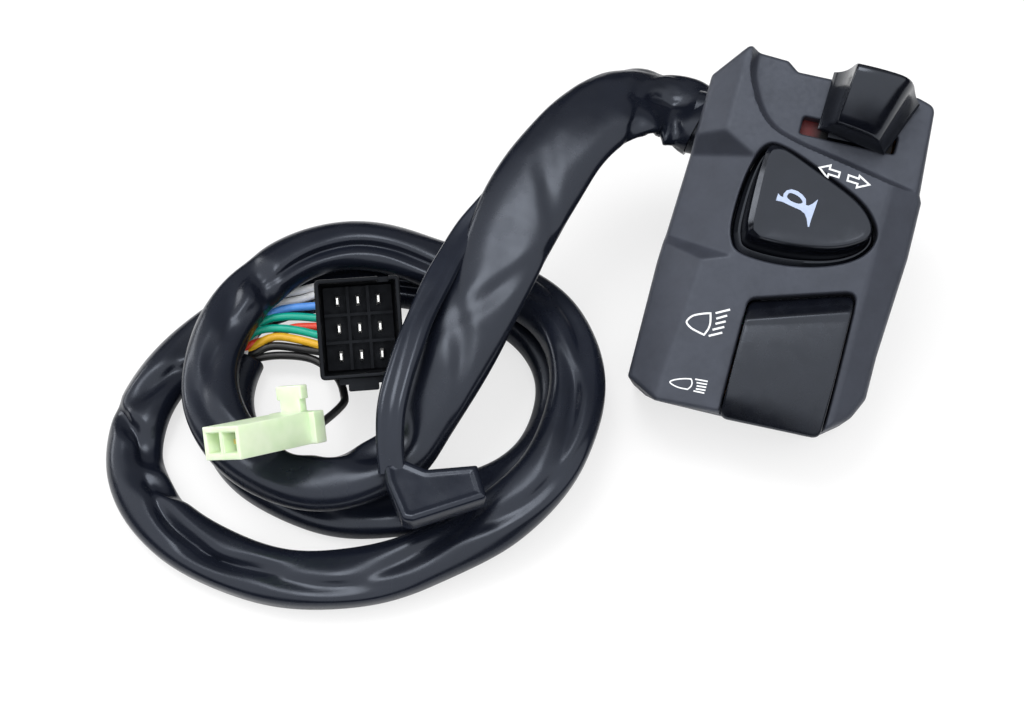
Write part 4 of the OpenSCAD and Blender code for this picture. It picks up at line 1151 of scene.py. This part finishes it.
# Each set of screws: its name, head radius and height, shank radius and length, places and CAD node
SCREWS = [("clamp_screws", (4.4, 3.2, 2.4, 20), [(-13, -17.5, -7), (-13, 17.5, -7)], "housing_screws"),
          ("cover_screw_set", (2.4, 1.2, 1.3, 7.8), [(LEFT + 8.6, -37.1, 1.2), (RIGHT - 9.4, -35.1, 1.2)],
           "cover_screws")]


class SWITCH_OT_fasteners(bpy.types.Operator):
    """Sets the clamp screws and cover screws, with crossed recesses"""

    bl_idname = "switch.fasteners"
    bl_label = "Fasteners"

    def execute(self, context):
        for name, size, spots, node in SCREWS:
            screws = repeated(name, screw_shape(*size), [at_face(*p) for p in spots], (TILT, 0, 0),
                              finish_named("zinc plate"))
            dress(screws, "zinc plate", "body", "zinc_screw", node)
        return {"FINISHED"}


# Printed symbols
INK_LIFT = 0.05
INK_THICK = 0.04
PEN = 0.42
FINE_PEN = 0.3


def ribbon(points, width, closed):
    """A flat stroke along a line, as a list of its left and right points."""
    pts = [Vector(p) for p in points]
    n = len(pts)
    left, right = [], []
    for i in range(n):
        before = pts[i - 1] if (closed or i > 0) else pts[i]
        after = pts[(i + 1) % n] if (closed or i < n - 1) else pts[i]
        a = (pts[i] - before).normalized() if (pts[i] - before).length > 0 else (after - pts[i]).normalized()
        b = (after - pts[i]).normalized() if (after - pts[i]).length > 0 else a
        mid = (a + b).normalized()
        side = Vector((-mid.y, mid.x)) * (width / 2 / max(0.4, mid.dot(a)))
        left.append(pts[i] + side)
        right.append(pts[i] - side)
    return left, right


def printed(name, strokes, shapes, height, body, finish, slot):
    """A printed sign: strokes and filled shapes that lie on a surface."""
    verts, faces = [], []

    def put(p):
        w = float(height(np.array([p[0]]), np.array([p[1]]))[0])
        verts.append(at_face(p[0], p[1], w + INK_LIFT))
        return len(verts) - 1

    for points, width, closed in strokes:
        left, right = ribbon(points, width, closed)
        ids = [(put(a), put(b)) for a, b in zip(left, right)]
        last = len(ids) if closed else len(ids) - 1
        for i in range(last):
            a, b = ids[i], ids[(i + 1) % len(ids)]
            faces.append([a[0], a[1], b[1], b[0]])
    for outline, hole in shapes:
        ids = [put(p) for p in outline + hole]
        loops = [[Vector((*p, 0)) for p in line] for line in (outline, hole)]
        faces += [[ids[i] for i in t] for t in geometry.tessellate_polygon(loops)]
    obj = outward(from_points(name, verts, faces, smooth=False))
    up = at_face(0, 0, 1)
    if sum((f.normal.dot(up) for f in obj.data.polygons)) < 0:
        obj.data.flip_normals()
    m = obj.modifiers.new("ink", "SOLIDIFY")
    m.thickness = INK_THICK * MM
    m.offset = -1
    settle(obj)
    return dress(obj, finish, body, slot)


# Printed signs, as u and v on the front face
LEFT_ARROW = [(3.4, 17.8), (5.7, 18.9), (5.7, 18.0), (8.1, 17.8), (8.1, 16.6), (5.7, 16.8), (5.7, 15.9)]
RIGHT_ARROW = [(15.2, 16.5), (12.6, 18.0), (12.6, 17.3), (10.2, 17.6), (10.2, 16.3), (12.6, 16.1),
               (12.6, 15.2)]
LOW_LAMP = [(-12.3, -20.9), (-13.9, -21.4), (-16.0, -22.4), (-17.0, -23.7), (-16.9, -24.5), (-15.7, -25.3),
            (-13.9, -25.8), (-12.5, -26.1), (-11.9, -24.6), (-11.8, -23.0)]
LOW_RAYS = [[(-11.2, -20.6), (-8.2, -19.0)], [(-10.7, -21.8), (-8.5, -20.5)], [(-10.6, -23.0), (-8.5, -21.9)],
            [(-10.9, -24.5), (-8.5, -23.2)], [(-11.4, -26.1), (-8.6, -24.6)]]
HIGH_LAMP = [(-12.8, -36.7), (-14.3, -37.0), (-16.2, -37.7), (-17.3, -38.5), (-16.6, -39.0), (-14.9, -39.3),
             (-13.0, -39.2), (-12.4, -38.3), (-12.4, -37.4)]
HIGH_RAYS = [[(-11.9, -36.5), (-9.0, -36.3)], [(-11.4, -37.2), (-9.0, -37.0)],
             [(-11.2, -37.9), (-9.0, -37.7)], [(-11.2, -38.6), (-9.0, -38.4)],
             [(-11.6, -39.2), (-9.1, -39.1)]]
HORN_SIGN = [(-4.3, 7.4), (-4.2, 9.1), (-3.5, 8.6), (-2.9, 8.5), (-3.0, 9.3), (-2.5, 10.2), (-1.5, 10.7),
             (-0.1, 10.6), (1.1, 10.1), (2.1, 9.3), (2.4, 8.4), (2.5, 7.9), (3.1, 7.9), (3.8, 8.5),
             (4.8, 9.8), (4.6, 7.0), (4.4, 4.8), (4.4, 3.2), (4.1, 3.1), (3.4, 4.9), (2.7, 5.9), (1.5, 6.5),
             (-0.6, 6.9), (-2.8, 7.4)]
HORN_EYE = [(-2.1, 8.9), (-1.8, 9.7), (-0.9, 9.8), (0.5, 9.4), (1.5, 8.6), (1.5, 8.1), (0.6, 7.8),
            (-0.8, 8.0), (-1.7, 8.4)]


def soft_lamp(lamp):
    """A lamp outline with its bowl smoothed and its two lens corners kept."""
    bowl = [tuple(p) for p in smooth_route([Vector(p) for p in lamp[:-2]], 28)]
    lens = [tuple(p) for p in smooth_route([Vector(p) for p in (lamp[-3], lamp[-2], lamp[-1], lamp[0])], 9)]
    return bowl + lens[1:-1]


class SWITCH_OT_symbols(bpy.types.Operator):
    """Prints the turn arrows, the horn sign and both headlamp signs"""

    bl_idname = "switch.symbols"
    bl_label = "Symbols"

    def execute(self, context):
        printed("turn_arrows", [(LEFT_ARROW, PEN, True), (RIGHT_ARROW, PEN, True)], [], housing_height,
                "body", "symbol ink", "housing_plastic")
        for name, lamp, rays, width in (("low_beam_sign", LOW_LAMP, LOW_RAYS, PEN),
                                        ("high_beam_sign", HIGH_LAMP, HIGH_RAYS, FINE_PEN)):
            strokes = [(soft_lamp(lamp), width, True)] + [(ray, width * 1.1, False) for ray in rays]
            printed(name, strokes, [], housing_height, "body", "symbol ink", "housing_plastic")
        dish = lambda u, v: np.full(len(u), HORN_CROWN - 0.30)
        printed("horn_sign", [], [(HORN_SIGN, flowing(HORN_EYE, 5))], dish, "horn", "horn ink",
                "button_plastic")
        return {"FINISHED"}


# Harness: steps along the routes in metres and rounds of easing that keep their bends soft
SLEEVE_STEP = 0.0009
SLEEVE_EASE = 14
WIRE_STEP = 0.0006
WIRE_EASE = 24
LEAD_STEP = 0.0008
SLEEVE_SIDES = 64
LEAD_SIDES = 36
TABLE_GAP = 0.00004
# Sections of sleeve and side lead: how square they are, and half sizes in millimetres
SLEEVE_SQUARE = 0.86
START_BULGE = 3.0
LEAD_HALF_WIDTH = 3.25
LEAD_HALF_THICK = 1.7
GROOVE_DEPTH = 0.75
# The sleeve's last rings, turned in at its open end: scale and way back in millimetres
SLEEVE_TUCK = [(0.96, -0.15), (0.88, 0.0), (0.84, 6.0)]


def sleeve_route():
    """The sleeve's middle line, from the grommet to its far end, and where its loops begin."""
    start = at_face(LEFT + 0.6, EXIT_V, EXIT_W)
    upper = smooth_route([start] + [over_table(p) for p in UPPER_ROUTE] + [loop_point(0)], 160)
    loops = [loop_point(LOOP_EIGHTHS * n / 900) for n in range(1, 901)]
    return eased(even_route(upper + loops, SLEEVE_STEP), SLEEVE_EASE), route_length(upper)


# Folds of the sleeve: place along it in mm, angle round it from its inner side, length, spread, depth, slant
SLEEVE_FOLDS = [(12, 110, 8, 34, 4.2, 0), (23, 150, 5, 24, 1.8, 30), (5, 150, 4, 20, 1.4, -30),
                (16, 66, 5, 16, 1.0, 40), (50, 96, 18, 18, 0.5, 70), (80, 118, 15, 16, 0.6, -50),
                (96, 92, 14, 16, 0.6, 50), (127, 66, 9, 34, 3.2, 0), (140, 24, 6, 26, 1.5, 0),
                (153, 18, 5, 26, 1.3, 0), (172, 95, 16, 20, 1.2, 30), (196, 70, 14, 22, 1.5, -30),
                (210, 104, 9, 26, 1.8, 30), (217, 62, 4, 60, 2.0, 40), (238, 60, 17, 13, 2.0, 8),
                (262, 66, 16, 13, 1.6, -8), (286, 78, 14, 16, 1.2, 20), (306, 112, 16, 18, 1.4, -15),
                (330, 88, 16, 16, 1.6, 20), (352, 118, 14, 18, 1.2, -20), (378, 86, 18, 18, 1.2, 25),
                (404, 116, 16, 18, 1.2, -20), (424, 104, 10, 13, 1.8, 12), (438, 92, 12, 15, 2.8, -14),
                (452, 50, 6, 30, 2.0, 30), (464, 44, 6, 46, 3.6, 0), (471, 104, 5, 26, 2.2, 50),
                (486, 70, 10, 22, 1.6, -40), (504, 98, 14, 18, 1.3, 20), (545, 60, 20, 14, 1.6, 0),
                (590, 84, 18, 18, 1.4, 20), (622, 110, 16, 18, 1.4, -20), (660, 84, 16, 20, 1.3, 20),
                (696, 112, 14, 20, 1.2, -20), (718, 80, 12, 20, 1.2, 20)]

# Half width of the sleeve in mm, every 10 mm from the grommet
SLEEVE_SPREAD = [9.6, 10.4, 10.8, 10.7, 10.7, 11.0, 11.0, 10.7, 10.2, 9.5, 8.8, 8.0, 7.3, 6.9, 6.8, 6.75]


def sleeve_dent(s, angle):
    """How far the sleeve is pushed in at a place, in millimetres."""
    total = 0.0
    for place, middle, length, spread, depth, slant in SLEEVE_FOLDS:
        ds = (s - place) / length
        if abs(ds) > 2.6:
            continue
        da = ((angle - middle - slant * ds + 180) % 360 - 180) / spread
        total += depth * math.exp(-((ds * ds + da * da) ** 1.25))
    return total


def sleeve_crush(s, c, n):
    """Small sharp creases where the sleeve is crushed at the housing."""
    share = math.exp(-((s - 10) / 12) ** 2)
    if share < 0.02:
        return 0.0
    broad = abs(wobble(s * 0.09, c * 1.2, n * 1.2 + 9))
    fine = abs(wobble(s * 0.2, c * 2, n * 2))
    return share * (1.1 - 3.6 * (broad + 0.25 * fine))


class SWITCH_OT_sleeve(bpy.types.Operator):
    """Shapes the soft vinyl sleeve with its folds, from the grommet through its loops"""

    bl_idname = "switch.sleeve"
    bl_label = "Sleeve"

    def execute(self, context):
        sizes = context.scene.switch_harness
        line, upper_len = sleeve_route()
        total = route_length(line)
        rings = []
        walked = 0.0
        spread = sizes.upper_width / 2 / MM / max(SLEEVE_SPREAD)
        for i, p in enumerate(line):
            if i:
                walked += (p - line[i - 1]).length
            s = walked / MM
            ahead, side, rise = axes_at(line, i)
            upper = 1 - min(1.0, walked / upper_len)
            half_w = max(along(SLEEVE_SPREAD, min(s / 10, len(SLEEVE_SPREAD) - 1)) * spread,
                         sizes.sleeve_width / 2 / MM)
            half_t = sizes.sleeve_thickness / 2 / MM * (1 - 0.18 * min(1, 4 * upper) * min(1, s / 15))
            half_w += 0.6 * wobble(s * 0.035, 3.1)
            half_t += 0.3 * wobble(s * 0.04, 8.7) - 0.15 + START_BULGE * max(0.0, 1 - s / 9)
            ring = []
            for a, c, n in turns(SLEEVE_SIDES):
                x, y = half_w * squared(c, SLEEVE_SQUARE), half_t * squared(n, SLEEVE_SQUARE)
                soft = wobble(s * 0.05, c * 1.1, n * 1.1 + 5) * (0.7 if upper else 0.5)
                push = (sleeve_dent(s, math.degrees(a)) + sleeve_crush(s, c, n)) * min(1.0, s / 5) - soft
                keep = max(0.3, 1 - push / math.hypot(x, y))
                ring.append(p + (side * x * keep + rise * max(y * keep, -half_t)) * MM)
            rings.append(ring)
        end = line[-1]
        for scale, back in SLEEVE_TUCK:
            rings.append([end + (q - end) * scale - ahead * back * MM for q in rings[len(line) - 1]])
        sleeve = lofted("harness_sleeve", rings)
        floor = TABLE * MM + TABLE_GAP
        for v in sleeve.data.vertices:
            v.co.z = max(v.co.z, floor)
        crisp(sleeve, 80)
        dress(sleeve, "sleeve vinyl", "body", "sleeve_vinyl", "upper_sleeve", "loop_sleeve")
        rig.cord(sleeve, exit=line[0], length=round(total, 3), diameter=0.015, far_end="bare",
                stiffness="medium", lay="coiled", path=line)
        paint_nodes({"cable_grommet": "sleeve vinyl", "inner_wires": "wire green"})
        return {"FINISHED"}


class SWITCH_OT_side_lead(bpy.types.Operator):
    """Shapes the flat side lead and the vinyl boot on its end"""

    bl_idname = "switch.side_lead"
    bl_label = "Side lead"

    def execute(self, context):
        line = even_route(smooth_route([over_table(p) for p in SIDE_ROUTE], 400), LEAD_STEP)
        total = route_length(line)
        rings = []
        for i, p in enumerate(line):
            share = i / (len(line) - 1)
            _, side, rise = axes_at(line, i)
            wide = LEAD_HALF_WIDTH + 0.3 * wobble(share * 9, 2.2)
            groove = 0.4 + 0.9 * wobble(share * 7, 0.7, 4)
            ring = []
            for _, c, n in turns(LEAD_SIDES):
                x, y = wide * squared(c, 0.7), LEAD_HALF_THICK * squared(n, 0.75)
                if n > 0:
                    y -= GROOVE_DEPTH * math.exp(-((x - groove) / 1.5) ** 2)
                ring.append(p + (side * x + rise * y) * MM)
            rings.append(ring)
        lead = crisp(lofted("side_lead_tube", rings), 70)
        dress(lead, "boot vinyl", "body", "sleeve_vinyl", "side_lead")
        place = lambda x, y, h: over_table((x, y, h))
        rim = rounded(BOOT_OUTLINE, BOOT_ROUND, 6)

        def height(x, y):
            inner = np.clip(edge_distance(np.column_stack([x, y]), rim) - 1.3, 0, 1)
            return BOOT_LOW + BOOT_THICK - BOOT_DISH * inner * inner * (3 - 2 * inner)

        boot = moulded("side_boot_cover", rim, height, BOOT_LOW, BOOT_EDGE, 0.6, place=place)
        ahead = Vector((math.cos(BOOT_TURN), math.sin(BOOT_TURN)))
        across = Vector((-ahead.y, ahead.x))
        mouth = [tuple(Vector(BOOT_MOUTH) + ahead * a + across * b) for a, b in oblong(-9, 4, -3.2, 3.2)]
        cut(boot, outward(prism(mouth, BOOT_LOW + 0.9, BOOT_LOW + 3.1, place)))
        crisp(boot, 45)
        dress(boot, "boot vinyl", "body", "sleeve_vinyl", "side_boot")
        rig.cord(lead, exit=line[0], length=round(total, 3), diameter=0.0065, far_end="connector",
                stiffness="medium", lay="loose", path=line, with_pieces=[boot])
        return {"FINISHED"}


def fan_route(c, r, lane):
    """One wire's line from inside the sleeve's end, through its lane of the fan, to the plug's back."""
    end, out, side = sleeve_end()
    first = end + (side * 1.9 * r + side.cross(out) * -1.9 * c) * MM
    last = plug_point((c * PITCH_ACROSS, r * PITCH_UP, -PLUG_LEN))
    into = PLUG_TURN @ UP
    flat = [over_table(p) for p in lane]
    flat.append(flat[-1] + (flat[-1] - flat[-2]).normalized() * 4.5 * MM)
    stops = [first - out * 6 * MM, first] + flat + [last - into * 3.5 * MM, last]
    return eased(even_route(smooth_route(stops, 140), WIRE_STEP), WIRE_EASE)


class SWITCH_OT_plug(bpy.types.Operator):
    """Moulds the nine-way plug and sets its pins"""

    bl_idname = "switch.plug"
    bl_label = "Plug"

    def execute(self, context):
        w, h = PLUG_W / 2, PLUG_H / 2
        flat = lambda inset: rounded(oblong(inset - w, w - inset, inset - h, h - inset),
                                     max(0.3, 1.3 - inset), 5)
        body = lofted("plug_shell", [[plug_point((*p, z)) for p in flat(inset)] for inset, z in PLUG_LOOPS])
        at = lambda u, v, z: plug_point((u, v, z))
        cut(body, prism(rounded(oblong(w - 5, w - 2.4, h - 2.5, h + 1), 0.5), -7, 1, at))
        step = rounded(oblong(-5.5, 5.5, -h - 1.4, -h + 0.3), 0.4)
        nose = rounded(oblong(-3.5, 3.5, -h - 3, -h + 0.3), 0.5)
        extras = [(step, -13, -1.5), (nose, -8, -1.5)]
        thin, inset = 0.35, 1.6
        for c in (-0.5, 0.5):
            extras.append((oblong(c * PITCH_ACROSS - thin, c * PITCH_ACROSS + thin, -h + inset, h - inset),
                           *RIB_SPAN))
        for r in (-0.5, 0.5):
            extras.append((oblong(-w + inset, w - inset, r * PITCH_UP - thin, r * PITCH_UP + thin),
                           *RIB_SPAN))
        crisp(combine(body, "UNION", [outward(prism(*e, at)) for e in extras]), 35)
        dress(body, "plug nylon", "body", "plug_nylon", "plug_housing")
        blade = [[Vector((x, y, z)) * MM for x, y in oblong(-thick, thick, -wide, wide)]
                 for thick, wide, z in PIN_SECTIONS]
        shape = crisp(lofted("blade_shape", blade), 30)
        spots = [plug_point((c * PITCH_ACROSS, r * PITCH_UP, 0)) for c in (-1, 0, 1) for r in (-1, 0, 1)]
        pins = repeated("plug_blades", shape, spots, tuple(PLUG_TURN.to_euler()), finish_named("tin plate"))
        dress(pins, "tin plate", "body", "tin_pin", "plug_pins")
        return {"FINISHED"}


class SWITCH_OT_lead_connector(bpy.types.Operator):
    """Rounds the small pale connector and finishes its terminal"""

    bl_idname = "switch.lead_connector"
    bl_label = "Lead connector"

    def execute(self, context):
        shell = softened("lead_connector_shell", "lead_connector", 0.3, keep_triangles=True)
        dress(shell, "pale nylon", "body", "pale_nylon", "lead_connector")
        paint_nodes({"lead_terminals": "contact brass"})
        return {"FINISHED"}


# Each wire's name, which starts with its colour, then its pin column and row, CAD node, slot and lane
WIRES = [
    ("white_a", -1, 1, "wires_white", "wire_white",
     [(-119.4, -41.5, 9), (-115.5, -38.3, 9), (-111.7, -35.7, 9)]),
    ("white_b", -1, -1, None, "wire_white",
     [(-119.0, -43.4, 8), (-115.0, -40.2, 8), (-111.0, -37.7, 8)]),
    ("blue", -1, 0, "wire_blue", "wire_blue",
     [(-118.7, -46.8, 9), (-114.6, -42.8, 9), (-109.1, -40.7, 9)]),
    ("green_a", 0, 1, "wires_green", "wire_teal",
     [(-119.9, -49.4, 9), (-113.6, -45.2, 9), (-107.4, -43.7, 9)]),
    ("green_b", 1, 1, None, "wire_teal",
     [(-121.0, -53.3, 9), (-114.4, -49.1, 9), (-105.5, -48.1, 9)]),
    ("red", 0, 0, "wire_red", "wire_red",
     [(-120.0, -55.5, 8.4), (-115.5, -51.5, 7.0), (-112.7, -47.8, 8.0), (-106.5, -46.0, 8.6)]),
    ("yellow", 1, 0, "wire_yellow", "wire_yellow",
     [(-119.3, -56.4, 7.2), (-116.0, -52.5, 9), (-112.7, -51.2, 9), (-104.2, -50.8, 9)]),
    ("black_a", 0, -1, "wires_black", "wire_black",
     [(-118.0, -57.0, 7), (-115.3, -53.6, 7.4), (-103.7, -52.0, 7.6)]),
    ("black_b", 1, -1, None, "wire_black",
     [(-118.4, -44.8, 6.2), (-114.0, -41.4, 6.2), (-109.6, -38.9, 7)]),
]


class SWITCH_OT_wires(bpy.types.Operator):
    """Runs the coloured wires to the plug and the single lead to its connector"""

    bl_idname = "switch.wires"
    bl_label = "Wires"

    def execute(self, context):
        diameter = context.scene.switch_harness.wire_diameter
        plug = [bpy.data.objects["plug_shell"], bpy.data.objects["plug_blades"]]
        for name, c, r, node, slot, lane in WIRES:
            finish = "wire " + name.split("_")[0]
            line = fan_route(c, r, lane)
            wire = wire_piece("strand_" + name, line, diameter, finish_named(finish))
            dress(wire, finish, "body", slot, *([node] if node else []))
            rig.cord(wire, exit=line[0], length=round(route_length(line), 4), diameter=diameter,
                    far_end="plug", stiffness="medium", lay="loose", path=line, with_pieces=plug)
        end, _, side = sleeve_end()
        first = end + side * 5.25 * MM
        flat = math.cos(LEAD_PITCH)
        ahead = Vector((flat * math.cos(LEAD_YAW), flat * math.sin(LEAD_YAW), math.sin(LEAD_PITCH)))
        last = over_table(LEAD_AT) - ahead * LEAD_CONN_LEN / 2 * MM
        before = last - ahead * 3.5 * MM + Vector((MM, 0, 0))
        line = smooth_route([first] + [over_table(p) for p in LEAD_ROUTE] + [before, last], 96)
        lead = wire_piece("lead_wire_black", line, diameter, finish_named("wire black"))
        dress(lead, "wire black", "body", "wire_black", "lead_wire")
        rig.cord(lead, exit=line[0], length=round(route_length(line), 4), diameter=diameter,
                far_end="connector", stiffness="medium", lay="loose", path=line,
                with_pieces=[bpy.data.objects["lead_connector_shell"], frame["nodes"]["lead_terminals"]])
        return {"FINISHED"}


# Stage
CAMERA_AT = (-0.0008, -0.2223, 0.2792)
CAMERA_AIM = (-0.058, -0.0363, -0.0205)
LIGHT_AIM = (-0.04, -0.03, 0.0)
# Each light's place, its two sizes and its power
LIGHTS = {"soft_top": ((-0.3, 0.05, 1.05), (0.4, 0.36), 3.2),
          "left_strip": ((-0.9, 0.12, 0.23), (0.42, 0.2), 1.6)}
# How the surround dims with direction: axis, start and end of the fade, strength at either end
TENT = [("Z", 0.34, 0.5, 0.05, 1.9), ("Y", 0.14, 0.55, 1.0, 0.22), ("Y", -0.93, -0.77, 0.12, 1.0)]
TABLE_CORNERS = [(-0.5, -0.2), (0.4, -0.2), (0.4, 0.45), (-0.5, 0.45)]


def aimed(name, data, at, aim):
    """A camera or a light at a place, turned to look at another."""
    obj = as_object(name, data)
    obj.location = at
    obj.rotation_mode = "QUATERNION"
    obj.rotation_quaternion = (Vector(aim) - Vector(at)).to_track_quat("-Z", "Y")
    return obj


def times(tree, a, b):
    """The product of a socket and another socket or a number."""
    product = tree.nodes.new("ShaderNodeMath")
    product.operation = "MULTIPLY"
    tree.links.new(a, product.inputs[0])
    if isinstance(b, float):
        product.inputs[1].default_value = b
    else:
        tree.links.new(b, product.inputs[1])
    return product.outputs["Value"]


def white_to_camera(tree, plain, share):
    """Shows the camera a share of plain white over a finish or a surround; all other rays see it as it is."""
    nodes, links = tree.nodes, tree.links
    output = next(n for n in nodes if n.type in ("OUTPUT_MATERIAL", "OUTPUT_WORLD"))
    rays = nodes.new("ShaderNodeLightPath")
    kind = "ShaderNodeEmission" if output.type == "OUTPUT_MATERIAL" else "ShaderNodeBackground"
    white = fill(nodes.new(kind), {"Color": (1, 1, 1, 1), "Strength": 1.0})
    mix = nodes.new("ShaderNodeMixShader")
    links.new(times(tree, rays.outputs["Is Camera Ray"], share), mix.inputs["Fac"])
    links.new(plain, mix.inputs[1])
    links.new(white.outputs[0], mix.inputs[2])
    links.new(mix.outputs["Shader"], output.inputs["Surface"])


class SWITCH_OT_stage(bpy.types.Operator):
    """Sets the camera, the pale table, the soft lights and the white surround"""

    bl_idname = "switch.stage"
    bl_label = "Stage"

    def execute(self, context):
        scene = context.scene
        data = bpy.data.cameras.new("camera")
        data.lens = 50
        data.sensor_width = 36
        data.clip_start = 0.01
        data.clip_end = 20
        scene.camera = aimed("camera", data, CAMERA_AT, CAMERA_AIM)
        scene.view_settings.view_transform = "Standard"
        table = from_points("table", [(x, y, TABLE * MM) for x, y in TABLE_CORNERS], [[0, 1, 2, 3]],
                            smooth=False)
        f = Finish("pale table", (0.93, 0.93, 0.93), 0.6, specular=0.2)
        f.shades(f.noise(3, 2), 0.01)
        white_to_camera(f.tree, f.shader.outputs[0], 0.68)
        table.data.materials.append(f.material)
        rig.stage(table)
        world = bpy.data.worlds.new("white surround")
        world.use_nodes = True
        tree = world.node_tree
        back = fill(tree.nodes["Background"], {"Color": (1, 1, 1, 1)})
        split = tree.nodes.new("ShaderNodeSeparateXYZ")
        tree.links.new(tree.nodes.new("ShaderNodeTexCoord").outputs["Generated"], split.inputs["Vector"])
        strength = None
        for axis, *span in TENT:
            fade = map_range(tree, split.outputs[axis], *span)
            fade.interpolation_type = "SMOOTHSTEP"
            strength = times(tree, strength, fade.outputs["Result"]) if strength else fade.outputs["Result"]
        tree.links.new(strength, back.inputs["Strength"])
        white_to_camera(tree, back.outputs[0], 1.0)
        scene.world = world
        for name, (at, size, power) in LIGHTS.items():
            light = bpy.data.lights.new(name, "AREA")
            light.shape = "RECTANGLE"
            light.size, light.size_y = size
            light.energy = power
            aimed(name, light, at, LIGHT_AIM)
        return {"FINISHED"}


# Panel and running
OPERATORS = (SWITCH_OT_stage, SWITCH_OT_sleeve, SWITCH_OT_side_lead, SWITCH_OT_plug,
             SWITCH_OT_lead_connector, SWITCH_OT_wires, SWITCH_OT_housing, SWITCH_OT_turn_knob,
             SWITCH_OT_horn_button, SWITCH_OT_beam_rocker, SWITCH_OT_fasteners, SWITCH_OT_symbols)


class SWITCH_PT_panel(bpy.types.Panel):
    """Lists the steps that dress the switch cluster"""

    bl_label = "Switch cluster"
    bl_idname = "SWITCH_PT_panel"
    bl_space_type = "VIEW_3D"
    bl_region_type = "UI"
    bl_category = "Switch"

    def draw(self, context):
        for group in SETTINGS:
            settings = getattr(context.scene, group)
            for name in settings.__annotations__:
                self.layout.prop(settings, name)
        for op in OPERATORS:
            self.layout.operator(op.bl_idname)


SETTINGS = {"switch_housing": SwitchHousingSettings, "switch_harness": SwitchHarnessSettings,
            "switch_finish": SwitchFinishSettings}
CLASSES = (*SETTINGS.values(), *OPERATORS, SWITCH_PT_panel)


def register():
    for c in CLASSES:
        bpy.utils.register_class(c)
    for name, group in SETTINGS.items():
        setattr(bpy.types.Scene, name, bpy.props.PointerProperty(type=group))


def unregister():
    for name in SETTINGS:
        delattr(bpy.types.Scene, name)
    for c in reversed(CLASSES):
        bpy.utils.unregister_class(c)


def main():
    register()
    for op in OPERATORS:
        group, name = op.bl_idname.split(".")
        getattr(getattr(bpy.ops, group), name)()
    bpy.context.view_layer.update()
    boxes = {"cad": [list(c) for c in CAD_BOX], "visual": [list(c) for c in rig.bounds()]}
    with open("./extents.json", "w") as f:
        json.dump(boxes, f)


if __name__ == "__main__":
    main()
